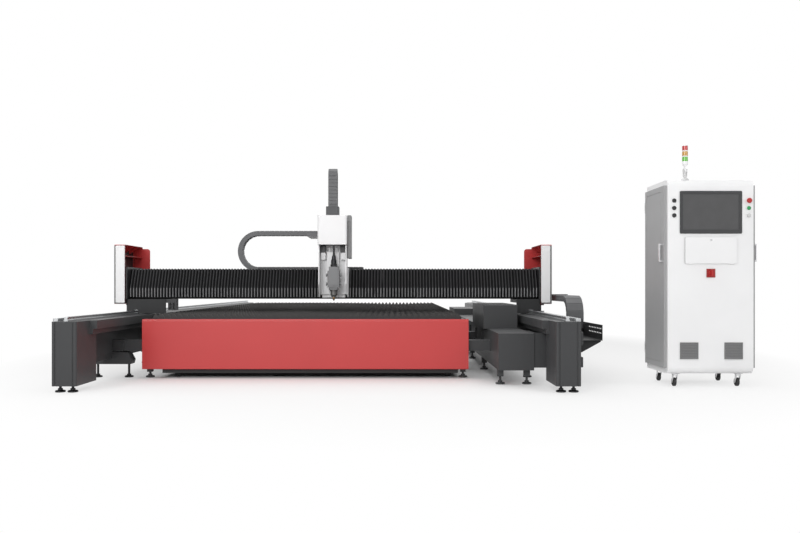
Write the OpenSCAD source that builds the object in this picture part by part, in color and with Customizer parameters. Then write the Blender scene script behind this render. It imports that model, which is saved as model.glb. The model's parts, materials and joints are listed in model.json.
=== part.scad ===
// Gantry fiber laser cutting machine with its control cabinet.
// X runs across the machine, Y from the operator's side to the back, Z up.

/* [Bed] */
// Machine centre line to the inner face of a side bed
bed_half = 1969; // [1930:1:2050]
// Width of a side bed
bed_w = 208; // [190:1:230]
// Height of the bed top over the floor
bed_top = 585; // [570:1:600]
// Length of the side beds
bed_len = 8200; // [8000:10:8800]
// Underside of the long bed box
bed_under = 185; // [170:1:200]
// Length of the front and rear posts
post_len = 440; // [400:1:500]
// Underside of the posts, carried by the feet
post_under = 53; // [45:1:65]
// Radius of the folded corners of a post
post_r = 16; // [8:1:24]
// Width of the ledge on the inner side of a bed
ledge_w = 60; // [40:1:70]
// Height of that ledge
ledge_h = 75; // [50:1:90]
// Reach of an outrigger bar beyond the bed
outrigger_w = 92; // [70:1:110]
// Height of an outrigger bar
outrigger_h = 116; // [90:1:120]
// Underside of the outrigger bars
outrigger_under = 130; // [120:1:135]
// Set-back of the bed's inner wall under its ledge
web_in = 100; // [60:1:120]
// Diameter of a levelling pad
pad_d = 84; // [70:1:100]
// Diameter of a levelling stem
stem_d = 22; // [16:1:28]
// Side of a cross beam's square section
beam_side = 102; // [90:1:110]
// Underside of the cross beams
beam_under = 258; // [254:1:270]
// Cross beams under the table
beams = 5; // [3:1:6]
// End of the table to the nearest cross beam
beam_in = 115; // [110:1:200]

/* [Rails and racks] */
// Width of a guide rail
rail_w = 34; // [28:1:40]
// Height of a guide rail
rail_h = 38; // [30:1:44]
// Clearance between a rail and its block
rail_gap = 0.4; // [0.3:0.1:0.8]
// Tooth module of the long racks
tooth_m = 6; // [5:0.5:7]
// Teeth on one rack segment
rack_teeth = 50; // [40:1:55]
// Height of a rack bar
rack_h = 25; // [20:1:30]
// Teeth of a drive pinion
pinion_teeth = 12; // [12:1:14]
// Gap between meshing flanks
backlash = 0.6; // [0.4:0.1:1]

/* [Table] */
// Gap between the left bed and the table
table_gap = 206; // [195:1:230]
// Gap between the table and the duct
duct_space = 216; // [200:1:240]
// Front of the red panel
table_front = 1050; // [1000:1:1100]
// Length of the table
table_len = 6100; // [5600:10:6300]
// Top of the table frame
table_top = 550; // [545:1:565]
// Thickness of the table frame's walls
table_wall = 50; // [40:1:60]
// Bottom edge of the red front panel
panel_under = 87; // [84:1:100]
// Depth of the folded front panel
panel_deep = 44; // [30:1:60]
// Sheet thickness of folded covers
sheet = 4; // [3:1:6]
// Width of a table leg
leg_w = 50; // [40:1:56]
// Tips of the cutting slats
slat_tip = 608; // [600:1:615]
// Underside of the cutting slats
slat_under = 510; // [500:1:520]
// Thickness of a slat
slat_t = 6; // [4:1:8]
// Spacing of the slats
slat_pitch = 150; // [120:1:180]
// Spacing of the saw teeth
tooth_pitch = 58; // [36:1:80]
// Depth of the saw teeth
tooth_deep = 34; // [20:1:40]
// Thickness of a slat comb
comb_t = 10; // [8:1:14]
// Clearance of a slat in its comb
comb_gap = 0.5; // [0.3:0.1:1]

/* [Slag tray] */
// Left side of the table to the tray
tray_in_left = 181; // [160:1:200]
// Right side of the table to the tray
tray_in_right = 97; // [90:1:120]
// Length of the tray
tray_len = 1500; // [1200:10:1700]
// Underside of the tray
tray_under = 46; // [44:1:48]
// Top of the tray's rim
tray_top = 82; // [78:1:83]
// Radius of a tray roller
roller_r = 22; // [18:1:22]
// Width of a tray roller
roller_w = 40; // [30:1:50]
// Diameter of a roller axle
axle_d = 14; // [10:1:16]

/* [Extraction duct] */
// Gap between the duct and the right bed
duct_gap = 89; // [80:1:100]
// Width of the duct
duct_w = 317; // [300:1:330]
// Front end of the duct
duct_front = 525; // [500:1:560]
// Underside of the duct
duct_under = 130; // [120:1:140]
// Top of the duct
duct_top = 458; // [440:1:470]
// Side of a square duct leg
duct_leg = 54; // [44:1:60]
// Underside of the duct legs
leg_under = 70; // [60:1:80]
// Top of the front damper box
damper_top = 693; // [660:1:700]
// Top of the rear damper box
damper_rear_top = 550; // [530:1:580]
// Length of a damper box
damper_len = 1100; // [900:10:1300]
// Front of the duct to the front damper box
damper_ahead = 867; // [800:1:900]
// Rear damper box to the back of the duct
damper_tail = 750; // [600:1:900]

/* [Gantry] */
// Front of the gantry's end covers at rest
gantry_y = 1770; // [1740:1:1800]
// Underside of the gantry beam
gantry_under = 744; // [735:1:755]
// Top of the gantry beam
gantry_top = 1030; // [1000:1:1060]
// Front to back size of the gantry beam
gantry_deep = 320; // [280:1:340]
// End cover front to the beam's front face
beam_back = 190; // [180:1:210]
// Thickness of a saddle plate
saddle_t = 40; // [30:1:46]
// End cover beyond the outer face of the bed
cover_over = 103; // [98:1:113]
// Width of an end cover
cover_w = 112; // [105:1:118]
// Depth of an end cover
cover_deep = 590; // [560:1:620]
// Underside of an end cover
cover_under = 693; // [690:1:698]
// Top of an end cover
cover_top = 1313; // [1280:1:1340]
// Corner radius of an end cover
cover_r = 20; // [14:1:40]
// Inward reach of the cover's back return
back_in = 83; // [60:1:90]
// Thickness of the white fascia
fascia_t = 14; // [8:1:20]
// Width of the bare strip beside the fascia
strip_w = 18; // [12:1:24]
// Thickness of a saddle's front apron
apron_t = 12; // [8:1:16]
// Side of a drive motor
motor_w = 88; // [80:1:92]
// Height of a drive motor
motor_h = 230; // [180:1:280]
// Diameter of a drive gearbox
gearbox_d = 80; // [70:1:84]
// Diameter of a pinion shaft
shaft_d = 20; // [16:1:24]

/* [Bellows] */
// Bottom edge of the bellows
bellows_under = 765; // [755:1:775]
// Height at which the bellows start to lean back
bellows_bend = 860; // [845:1:880]
// Top edge of the bellows
bellows_top = 1067; // [1050:1:1080]
// Backward lean of the upper bellows
bellows_lean = 23.5; // [18:0.5:26]
// Depth of a pleat
pleat_deep = 30; // [22:1:36]
// Spacing of the pleats
pleat_pitch = 32; // [26:1:40]
// End cover front to the front of the pleats
pleat_back = 70; // [60:1:80]

/* [Drag chains] */
// Thickness of the cross chain
x_chain_t = 52; // [44:1:60]
// Width of the cross chain
x_chain_w = 110; // [90:1:120]
// Outer bend radius of the cross chain
x_chain_r = 222; // [200:1:240]
// Centre of the cross chain's bend, left of the machine centre
x_chain_bend = 844; // [800:1:880]
// Moving end of the cross chain to its fixed end
x_chain_run = 500; // [460:1:540]
// Thickness of the long chain
y_chain_t = 60; // [50:1:66]
// Width of the long chain
y_chain_w = 159; // [140:1:170]
// Outer bend radius of the long chain
y_chain_r = 194; // [180:1:200]
// Centre of the long chain's bend, from the bed front
y_chain_bend = 1376; // [1340:1:1420]
// Gantry front to the moving end of the long chain
y_chain_lead = 220; // [200:1:240]
// Moving end of the long chain to its fixed end
y_chain_run = 2310; // [2200:10:2400]
// Gap between the right bed and the chain trough
trough_gap = 119; // [115:1:123]
// Width of the chain trough
trough_w = 199; // [190:1:215]
// Underside of the trough floor
trough_under = 392; // [380:1:400]
// Top of the trough's outer wall
trough_top = 532; // [500:1:560]
// Front end of the trough
trough_front = 558; // [520:1:600]
// Length of the trough
trough_len = 5200; // [4800:10:5600]
// Thickness of the upright chain
z_chain_t = 40; // [34:1:46]
// Width of the upright chain
z_chain_w = 88; // [76:1:96]
// Outer bend radius of the upright chain
z_chain_r = 85; // [80:1:95]
// Top of the upright chain
z_chain_top = 2094; // [2000:1:2100]

/* [Carriage and head] */
// Middle of the carriage at rest
carriage_x = 6; // [-20:1:20]
// Half width of the carriage
carriage_half = 145; // [135:1:155]
// Front of the carriage cover
carriage_front = 1575; // [1560:1:1590]
// Front of the carriage's back plate
plate_front = 1760; // [1745:1:1765]
// Thickness of the back plate
plate_t = 30; // [24:1:34]
// Bottom of the back plate
plate_under = 794; // [780:1:810]
// Top of the carriage cover
cap_top = 1602; // [1580:1:1620]
// Bottom of the carriage cover
cap_under = 1302; // [1290:1:1320]
// Width of the head's slide plate
slide_w = 122; // [110:1:130]
// Sideways offset of the head from the carriage middle
head_shift = 12; // [0:1:16]
// Width of the cutting head
head_w = 120; // [110:1:126]
// Depth of the cutting head
head_deep = 120; // [100:1:126]
// Bottom of the head body
head_under = 842; // [830:1:850]
// Top of the head body
head_top = 1077; // [1060:1:1090]
// Tip of the nozzle
nozzle_tip = 730; // [725:1:745]

/* [Cabinet] */
// Gap between the right bed and the cabinet
cab_away = 837; // [800:1:920]
// Width of the cabinet
cab_w = 743; // [730:1:780]
// Front of the cabinet
cab_front = 375; // [340:1:420]
// Depth of the cabinet
cab_deep = 575; // [560:1:620]
// Underside of the cabinet
cab_under = 115; // [110:1:120]
// Top of the cabinet
cab_top = 1804; // [1790:1:1840]
// Front edge radius
cab_r = 62; // [40:1:80]
// Wall thickness of the cabinet
cab_wall = 4; // [3:1:6]
// Thickness of a side door
door_t = 25; // [20:1:30]
// Lower edge of a side door
door_under = 165; // [155:1:180]
// Upper edge of a side door
door_top = 1755; // [1730:1:1765]
// Reach of a door handle
handle_out = 32; // [26:1:40]
// Width of the monitor
screen_w = 539; // [520:1:545]
// Height of the monitor
screen_h = 370; // [350:1:375]
// Width of the keyboard flap
flap_w = 450; // [430:1:470]
// Height of the keyboard flap
flap_h = 237; // [225:1:242]
// Thickness of the keyboard flap
flap_t = 10; // [9:1:14]
// Side of the square switch plate
switch_side = 75; // [65:1:85]
// Radius of a caster wheel
wheel_r = 37.5; // [34:0.5:38]
// Width of a caster wheel
wheel_w = 28; // [24:1:30]
// Trail of a caster
caster_trail = 25; // [20:1:30]
// Outside diameter of the lamp lenses
lamp_d = 49; // [44:1:54]
// Height of one lamp lens
lens_h = 38; // [34:1:42]

/* [Fits] */
// Radial clearance of a pin or shaft in its bore
pin_gap = 0.05; // [0.02:0.01:0.1]
// Radial clearance of a motor in its seat
seat_gap = 0.2; // [0.1:0.05:0.4]
// Gap between neighbouring moving pieces
move_gap = 0.5; // [0.3:0.1:1]

/* [Hidden] */
$fn = 48;
bend_steps = 5;
pi = 3.14159265;
bed_out = bed_half + bed_w;
rail_mid = bed_half + bed_w / 2;
weld = 3;
cover_out = bed_out + cover_over;
trough_in = bed_out + trough_gap;
duct_right = bed_half - duct_gap;
duct_left = duct_right - duct_w;
table_left = bed_half - table_gap;
table_right = duct_left - duct_space;
tray_left = table_left - tray_in_left;
tray_right = table_right - tray_in_right;
cab_left = bed_out + cab_away;
cab_right = cab_left + cab_w;
cab_back = cab_front + cab_deep;
cab_mid = cab_left + cab_w / 2;
origin_x = (cab_right + door_t + handle_out - cover_out) / 2;
origin_y = bed_len / 2;
table_back = table_front + table_len;
beam_top = beam_under + beam_side;
beam_first = table_front + beam_in;
beam_step = (table_len - 2 * beam_in) / (beams - 1);
duct_len = table_back - duct_front;
tooth_step = pi * tooth_m;
pinion_r = tooth_m * pinion_teeth / 2;
base_r = pinion_r * cos(20);
tip_r = pinion_r + 0.83 * tooth_m;
root_r = pinion_r - 0.83 * tooth_m;
rack_tip = 0.66 * tooth_m;
rack_root = tooth_m;
drive_y = gantry_y + 300;
drive_x = cover_out - cover_w / 2 - 9;
rack_line = drive_x - pinion_r;
rack_back = rack_line - 39;
rack_margin = 40;
rack_ahead = floor((drive_y - rack_margin) / tooth_step);
rack_start = drive_y - (rack_ahead + 0.5) * tooth_step;
rack_len = rack_teeth * tooth_step;
rack_segments = floor((bed_len - rack_start - rack_margin) / rack_len);
cover_in = cover_out - cover_w;
cover_back = gantry_y + cover_deep;
beam_front = gantry_y + beam_back;
beam_rear = beam_front + gantry_deep;
beam_half = cover_in - 8;
saddle_under = gantry_under - saddle_t;
saddle_front = beam_front - 130;
saddle_rear = beam_rear + 10;
block_top = bed_top + rail_h + 32;
block_w = 100;
block_len = 130;
flange_t = 15;
pleat_front = gantry_y + pleat_back;
low_rail_z = gantry_under + 56;
top_rail_y = beam_front + 40;
chain_floor = gantry_top + 6;
x_chain_y = beam_rear - x_chain_w - 30;
x_chain_under = chain_floor + move_gap;
x_chain_mid = x_chain_under + 2 * x_chain_r - x_chain_t;
x_chain_end = carriage_x - carriage_half - 60;
x_chain_fix = x_chain_end + x_chain_run;
trough_out = trough_in + trough_w;
y_chain_under = trough_under + sheet + move_gap;
y_chain_x = trough_in + (trough_w - y_chain_w) / 2;
y_chain_end = gantry_y + y_chain_lead;
y_chain_fix = y_chain_end + y_chain_run;
y_chain_top = y_chain_under + 2 * y_chain_r;
plate_back = plate_front + plate_t;
slide_front = plate_front - 60;
slide_t = 30;
head_x = carriage_x + head_shift;
head_back = slide_front;
head_mid_y = head_back - head_deep / 2;
z_chain_front = carriage_front + 55;
door_front = cab_front + 30;
door_rear = cab_back - 22;
hinge_r = 7;
hinge_y = door_rear + hinge_r + 4;
hinge_pin_r = 3;
screen_top = cab_top - 101;
flap_top = screen_top - screen_h - 32;
flap_under = flap_top - flap_h;
flap_pin_r = 2;
flap_barrel_r = 4;
flap_axis_z = flap_under + flap_barrel_r;
flap_axis_y = cab_front - flap_barrel_r - 1;
switch_z = flap_under - 74;
vent_z = cab_under + 129;
vent_w = 159;
vent_x = [cab_left + 104, cab_right - 94 - vent_w];
vent_h = 145;
button_x = cab_right - 43;
socket_x = cab_left + 53;
row_z = [for (i = [0:2]) cab_top - 185 - 64 * i];
caster_x = [cab_left + 84, cab_right - 107];
caster_y = [cab_front + 67, cab_back - 97];
crown_top = cab_under - 4 - move_gap;
crown_h = 14;
lamp_x = cab_left + 177;
lamp_y = cab_front + 80;
lamp_axis_z = cab_top + 84;
lamp_base_h = 26;

// Shared helpers

// Moves the machine so that the middle of its footprint is the origin
module framed() translate([-origin_x, -origin_y, 0]) children();

// A box between two corners, given as three spans
module block(x, y, z) translate([x[0], y[0], z[0]]) cube([x[1] - x[0], y[1] - y[0], z[1] - z[0]]);

// A Y-Z outline drawn out along X
module along_x(x) translate([x[0], 0, 0]) rotate([90, 0, 90]) linear_extrude(x[1] - x[0]) children();

// An X-Z outline drawn out along Y
module along_y(y) translate([0, y[1], 0]) rotate([90, 0, 0]) linear_extrude(y[1] - y[0]) children();

// An X-Y outline drawn out along Z
module along_z(z) translate([0, 0, z[0]]) linear_extrude(z[1] - z[0]) children();

// The left and the right copy of what stands on both sides
module both_sides() {
    children();
    mirror([1, 0, 0]) children();
}

// One rounded corner: p is the corner, s points to the inside, a is the first angle
function bend(p, s, r, a) = r == 0 ? [p] : [
    for (i = [0:bend_steps])
        [
            p[0] + s[0] * r + r * cos(a + 90 * i / bend_steps),
            p[1] + s[1] * r + r * sin(a + 90 * i / bend_steps)
        ]
];

// A rectangle with four corner radii: lower right, upper right, upper left, lower left
function rounded(x, y, r) = concat(
    bend([x[1], y[0]], [-1, 1], r[0], -90), bend([x[1], y[1]], [-1, -1], r[1], 0),
    bend([x[0], y[1]], [1, -1], r[2], 90), bend([x[0], y[0]], [1, 1], r[3], 180)
);

function even(r) = [r, r, r, r];

// A point on a drag chain: s along it from its fixed end, v in from its outer face
function chain_at(s, v, run, r, t) =
    let (arc = pi * (r - t / 2), a = (s - run) / arc * 180)
    s < run ? [run - s, v]
    : s < run + arc ? [-(r - v) * sin(a), r - (r - v) * cos(a)]
    : [s - run - arc, 2 * r - v];

// One edge of a chain, with a notch between its links
function chain_edge(n, p, v, dip, run, r, t) = [
    for (i = [0:n - 1], q = [[0, dip], [0.12, dip], [0.12, 0], [1, 0]])
        chain_at((i + q[0]) * p, v + q[1] * (v == 0 ? 1 : -1), run, r, t)
];

// Side outline of a drag chain, with its bend centred over the origin and turned to the left
module chain_outline(run, top_run, r, t, link) {
    whole = run + pi * (r - t / 2) + top_run;
    n = round(whole / link);
    p = whole / n;
    dip = 0.06 * t;
    outer = chain_edge(n, p, 0, dip, run, r, t);
    inner = chain_edge(n, p, t, dip, run, r, t);
    polygon(concat(outer, [for (i = [len(inner) - 1:-1:0]) inner[i]]));
}

// Beds

// One levelling foot under a piece whose underside is at height h
module foot(h) {
    pad_h = 16;
    nut_r = stem_d / 2 + 9;
    rotate_extrude() polygon([
        [0, 0], [pad_d / 2 - 3, 0], [pad_d / 2, 3], [pad_d / 2, pad_h - 4], [pad_d / 2 - 6, pad_h],
        [nut_r, pad_h + 4], [nut_r, pad_h + 16], [stem_d / 2, pad_h + 18], [stem_d / 2, h], [0, h]
    ]);
}

// Middle of each outrigger along the bed
outrigger_y = [for (i = [0:beams - 1]) beam_first + i * (bed_len - 2 * beam_first) / (beams - 1)];
outrigger_len = 120;

// Grooves that part the folded edge strips from a post's face
module post_grooves() {
    groove_w = 10;
    groove_deep = 7;
    edge = 26;
    for (x = [bed_half + edge, bed_out - edge - groove_w])
        block([x, x + groove_w], [-1, groove_deep], [post_under - 1, bed_top + 1]);
}

// A bar with pointed ends that passes under the right bed
module outrigger(y, reach) {
    x = [bed_half - reach, bed_out + outrigger_w];
    z = [outrigger_under, outrigger_under + outrigger_h];
    slope = 40;
    nose = 12;
    along_y([y - outrigger_len / 2, y + outrigger_len / 2])
        polygon([
            [x[0] + nose, z[0]], [x[1] - nose, z[0]], [x[1], z[0] + slope], [x[1] - slope, z[1]],
            [x[0] + slope, z[1]], [x[0], z[0] + slope]
        ]);
}

// The right side bed: posts, long box with its ledges, and outriggers with the given inward reach
module side_bed(reach) {
    ledge_front = 290;
    step_w = 26;
    step_h = 45;
    head_h = ledge_h + step_h;
    inner_y = [post_len - weld, bed_len - post_len + weld];
    ledge_y = [ledge_front, bed_len - ledge_front];
    difference() {
        along_z([post_under, bed_top])
            polygon(rounded([bed_half, bed_out], [0, post_len], [post_r, 0, 0, post_r]));
        post_grooves();
    }
    block([bed_half + web_in, bed_out], inner_y, [bed_under, bed_top]);
    block([bed_half, bed_out], inner_y, [bed_top - head_h, bed_top]);
    along_z([post_under, bed_top])
        polygon(rounded([bed_half, bed_out], [bed_len - post_len, bed_len], [0, post_r, post_r, 0]));
    block([bed_half - ledge_w, bed_half + weld], ledge_y, [bed_top - ledge_h, bed_top]);
    block([bed_half - step_w, bed_half + weld], ledge_y, [bed_top - head_h, bed_top - ledge_h + weld]);
    for (y = outrigger_y) outrigger(y, reach);
}

module bed_right() color("dimgray") framed() {
    box_t = 24;
    side_bed(duct_gap - 9);
    for (z = [[205, 291], [390, 498]])
        along_x([bed_out - weld, bed_out + box_t]) polygon(rounded([40, 130], z, even(10)));
}

module bed_left() color("dimgray") framed() mirror([1, 0, 0]) side_bed(outrigger_w);

module leveling_feet() color("silver") framed() {
    inset = 52;
    both_sides() {
        for (x = [bed_half + inset, bed_out - inset], y = [60, bed_len - 60])
            translate([x, y, 0]) foot(post_under);
        for (y = outrigger_y)
            translate([bed_out + outrigger_w / 2, y, 0]) foot(outrigger_under);
    }
    for (x = [outrigger_w / 2 - bed_half, bed_half - duct_gap / 2], y = outrigger_y)
        translate([x, y, 0]) foot(outrigger_under);
}

module guide_rails() color("lightgray") framed() both_sides() {
    waist = 5;
    x = [rail_mid - rail_w / 2, rail_mid + rail_w / 2];
    z = [bed_top, bed_top + rail_h];
    along_y([rack_margin, bed_len - rack_margin])
        polygon([
            [x[0], z[0]], [x[1], z[0]], [x[1], z[0] + 12], [x[1] - waist, z[0] + 17],
            [x[1] - waist, z[1] - 13], [x[1], z[1] - 8], [x[1], z[1]], [x[0], z[1]],
            [x[0], z[1] - 8], [x[0] + waist, z[1] - 13], [x[0] + waist, z[0] + 17], [x[0], z[0] + 12]
        ]);
}

// One rack segment on the right bed, its teeth turned outwards
module rack_segment() {
    slope = tan(20);
    half = tooth_step / 4;
    teeth = [
        for (i = [0:rack_teeth - 1], q = [
            [-half - rack_root * slope, -rack_root], [-half + rack_tip * slope, rack_tip],
            [half - rack_tip * slope, rack_tip], [half + rack_root * slope, -rack_root]
        ]) [rack_line + q[1], (i + 0.5) * tooth_step + q[0]]
    ];
    along_z([bed_top, bed_top + rack_h]) polygon(concat(
        [[rack_back, 0], [rack_line - rack_root, 0]], teeth,
        [[rack_line - rack_root, rack_len], [rack_back, rack_len]]
    ));
}

module gear_racks() color("silver") framed() both_sides()
    for (i = [0:rack_segments - 1])
        translate([0, rack_start + i * rack_len, 0]) rack_segment();

// A cross beam with an eight-sided flange near its bed end, on two legs
module cross_beam(y) {
    plate = 24;
    half = beam_side / 2 + 10;
    corner = 30;
    mid = beam_under + beam_side / 2;
    inset = 20 + leg_w / 2;
    block(
        [-bed_half - web_in, duct_left],
        [y - beam_side / 2, y + beam_side / 2],
        [beam_under, beam_top]
    );
    block(
        [duct_right, bed_half + web_in],
        [y - beam_side / 2, y + beam_side / 2],
        [beam_under, beam_top]
    );
    along_x([-bed_half, -bed_half + plate]) translate([y, mid])
        polygon([
            [corner - half, -half], [half - corner, -half], [half, corner - half], [half, half - corner],
            [half - corner, half], [corner - half, half], [-half, half - corner], [-half, corner - half]
        ]);
    for (x = [-table_left + inset, table_right - inset])
        translate([x, y, 0]) {
            block([-leg_w / 2, leg_w / 2], [-leg_w / 2, leg_w / 2], [post_under, beam_under + weld]);
            foot(post_under);
        }
}

module cross_beams() color("dimgray") framed()
    for (i = [0:beams - 1]) cross_beam(beam_first + i * beam_step);

// Table

wall_front = table_front + panel_deep;
slat_first = wall_front + table_wall + 60;
slats = floor((table_back - table_wall - slat_first - 40) / slat_pitch) + 1;
comb_left = -table_left + table_wall + 20;
comb_right = table_right - table_wall - 20 - comb_t;
comb_top = slat_under + 40;

// A comb bar with one notch for each slat
module slat_comb(x) {
    half = slat_t / 2 + comb_gap;
    notches = [
        for (i = [0:slats - 1],
            q = [[-half, comb_top], [-half, slat_under], [half, slat_under], [half, comb_top]])
            [slat_first + i * slat_pitch + q[0], q[1]]
    ];
    low = slat_under - 60;
    ends = [wall_front + table_wall, table_back - table_wall];
    along_x([x, x + comb_t])
        polygon(concat([[ends[1], comb_top], [ends[1], low], [ends[0], low], [ends[0], comb_top]], notches));
}

module table_frame() color("dimgray") framed() {
    inner_x = [-table_left + table_wall, table_right - table_wall];
    difference() {
        block([-table_left, table_right], [wall_front, table_back], [beam_top, table_top]);
        block(inner_x, [wall_front + table_wall, table_back - table_wall], [beam_top - 1, table_top + 1]);
    }
    slat_comb(comb_left);
    slat_comb(comb_right);
}

module table_front_panel() color("firebrick") framed() {
    brim = 14;
    difference() {
        along_x([-table_left, table_right])
            polygon(rounded([table_front, wall_front], [panel_under, table_top], [0, 0, 6, 6]));
        block(
            [-table_left + sheet, table_right - sheet], [table_front + sheet, wall_front + 1],
            [panel_under + sheet, table_top - sheet]
        );
    }
    block(
        [-table_left, table_right],
        [table_front + 6, table_front + 6 + sheet],
        [table_top, table_top + brim]
    );
}

// One saw-toothed slat across the table
module slat(y) {
    x = [-table_left + table_wall + 6, table_right - table_wall - 6];
    n = floor((x[1] - x[0]) / tooth_pitch);
    p = (x[1] - x[0]) / n;
    root = slat_tip - tooth_deep;
    teeth = [
        for (i = [n - 1:-1:0], q = [[1, root], [0.58, slat_tip], [0.42, slat_tip]])
            [x[0] + (i + q[0]) * p, q[1]]
    ];
    along_y([y - slat_t / 2, y + slat_t / 2])
        polygon(concat([[x[0], root], [x[0], slat_under], [x[1], slat_under]], teeth));
}

module cutting_slats() color("gray") framed()
    for (i = [0:slats - 1]) slat(slat_first + i * slat_pitch);

// Slag tray

axle_z = roller_r + 0.3;
axle_y = [table_front + 190, table_front + tray_len - 110];
roller_x = [-tray_left + 126, tray_right - 91];

// A hanger that carries an axle under the tray
module axle_hanger(x, y) {
    t = 8;
    difference() {
        block([x, x + t], [y - 16, y + 16], [axle_z - 14, tray_under + sheet]);
        translate([x - 1, y, axle_z]) rotate([0, 90, 0]) cylinder(d = axle_d + 2 * pin_gap, h = t + 2);
    }
}

module slag_tray() color("dimgray") framed() {
    hanger = roller_w / 2 + move_gap;
    front = table_front + 50;
    difference() {
        block([-tray_left, tray_right], [front, front + tray_len], [tray_under, tray_top]);
        block(
            [-tray_left + sheet, tray_right - sheet], [front + sheet, front + tray_len - sheet],
            [tray_under + sheet, tray_top + 1]
        );
    }
    for (x = roller_x, y = axle_y, side = [-hanger - 8, hanger])
        axle_hanger(x + side, y);
}

// Two rollers on one axle
module roller_axle(y) {
    reach = roller_w / 2 + 16;
    translate([0, y, axle_z]) rotate([0, 90, 0]) {
        translate([0, 0, roller_x[0] - reach])
            cylinder(d = axle_d, h = roller_x[1] - roller_x[0] + 2 * reach);
        for (x = roller_x)
            translate([0, 0, x - roller_w / 2]) rotate_extrude() polygon([
                [0, 0], [roller_r - 3, 0], [roller_r, 3], [roller_r, roller_w - 3],
                [roller_r - 3, roller_w], [0, roller_w]
            ]);
    }
}

module tray_axle_front() color("black") framed() roller_axle(axle_y[0]);

module tray_axle_rear() color("black") framed() roller_axle(axle_y[1]);

// Extraction duct

module extraction_duct() color("dimgray") framed() {
    inlet = [220, 120, 40];
    inlets = 8;
    inlet_first = 1200;
    inlet_step = (duct_len - inlet_first - inlet[0]) / inlets;
    damper_x = [duct_left - 37, duct_right - 17];
    damper_front = duct_front + damper_ahead;
    damper_rear = table_back - damper_tail - damper_len;
    link = [[duct_front + 15, duct_front + 375], [duct_under + 23, duct_top + 6]];
    legs = 6;
    leg_in = 92;
    leg_step = (duct_len - 2 * leg_in) / (legs - 1);
    half = duct_leg / 2;
    difference() {
        block([duct_left, duct_right], [duct_front, table_back], [duct_under, duct_top]);
        for (i = [0:inlets - 1])
            translate([duct_left - 1, duct_front + inlet_first + i * inlet_step, duct_top - 50 - inlet[1]])
                cube([inlet[2] + 1, inlet[0], inlet[1]]);
    }
    block([duct_right - weld, bed_half + web_in], [link[0][0], link[0][0] + apron_t], link[1]);
    block([duct_right - weld, duct_right + apron_t], link[0], link[1]);
    along_x(damper_x) polygon(rounded(
        [damper_front, damper_front + damper_len], [duct_top - weld, damper_top], [0, 10, 10, 0]
    ));
    along_x(damper_x) polygon(rounded(
        [damper_rear, damper_rear + damper_len], [duct_top - weld, damper_rear_top], [0, 10, 10, 0]
    ));
    for (i = [0:legs - 1], x = [duct_left + half, duct_right - 52])
        translate([x, duct_front + leg_in + i * leg_step, 0]) {
            block([-half, half], [-half, half], [leg_under, duct_under + weld]);
            foot(leg_under);
        }
}

// Long chain and its trough

module y_chain_trough() color("dimgray") framed() {
    slot = [34, 10];
    y = [trough_front, trough_front + trough_len];
    difference() {
        block([trough_in, trough_out], y, [trough_under, trough_top]);
        block(
            [trough_in + sheet, trough_out - sheet], [y[0] - 1, y[1] + 1],
            [trough_under + sheet, trough_top + 1]
        );
        block(
            [trough_in - 1, trough_in + sheet + 1],
            [y[0] - 1, y[1] + 1],
            [trough_under + 40, trough_top + 1]
        );
        for (i = [0:7], z = [trough_top - 40, trough_top - 80])
            block(
                [trough_out - sheet - 1, trough_out + 1],
                [y[0] + 40 + i * 60, y[0] + 40 + i * 60 + slot[0]],
                [z, z + slot[1]]
            );
    }
    for (i = [0:4]) {
        bracket_y = y[0] + 60 + i * (trough_len - 160) / 4;
        along_y([bracket_y, bracket_y + 12])
            polygon([
                [bed_out, trough_under + sheet], [trough_out, trough_under + sheet],
                [trough_out, trough_under - 14],
                [bed_out, trough_under - 190]
            ]);
    }
}

module y_chain() color("gray") framed()
    along_x([y_chain_x, y_chain_x + y_chain_w]) translate([y_chain_bend, y_chain_under])
        chain_outline(y_chain_fix - y_chain_bend, y_chain_end - y_chain_bend, y_chain_r, y_chain_t, 70);

// Gantry

module gantry_beam() color("gainsboro") framed() {
    tray_lip = 30;
    along_x([-beam_half, beam_half])
        polygon(rounded([beam_front, beam_rear], [gantry_under, gantry_top], even(14)));
    tray_y = [x_chain_y - 12, beam_rear];
    block([-beam_half, x_chain_fix + 40], tray_y, [gantry_top, chain_floor]);
    block(
        [-beam_half, x_chain_fix + 40],
        [beam_rear - 6, beam_rear],
        [chain_floor, chain_floor + tray_lip]
    );
    for (x = [-1, 1])
        block(
            [x * beam_half - 8, x * beam_half + 8], [gantry_y + 20, beam_rear + 8],
            [gantry_under, bellows_top + 12]
        );
}

// The right saddle: a plate from its inner edge to the drive, a spacer over the bed and a front apron
module saddle(inner) {
    reach = drive_x + motor_w / 2 + 2;
    pass = 8;
    apron_y = [saddle_front - apron_t, saddle_front + weld];
    difference() {
        union() {
            block([inner, reach], [saddle_front, saddle_rear], [saddle_under, gantry_under]);
            block(
                [bed_half + 20, bed_out - 30],
                [saddle_front, saddle_rear],
                [block_top, saddle_under + weld]
            );
            block([inner, cover_in - move_gap], apron_y, [bed_top + pass, gantry_under]);
        }
        translate([drive_x, drive_y, block_top - 1]) cylinder(d = gearbox_d + 2 * seat_gap, h = 200);
        block(
            [rail_mid - rail_w / 2 - pass, rail_mid + rail_w / 2 + pass],
            [apron_y[0] - 1, apron_y[1] + 1],
            [bed_top, bed_top + rail_h + pass]
        );
        block(
            [rack_back - pass, bed_out],
            [apron_y[0] - 1, apron_y[1] + 1],
            [bed_top, bed_top + rack_h + pass]
        );
    }
}

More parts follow.
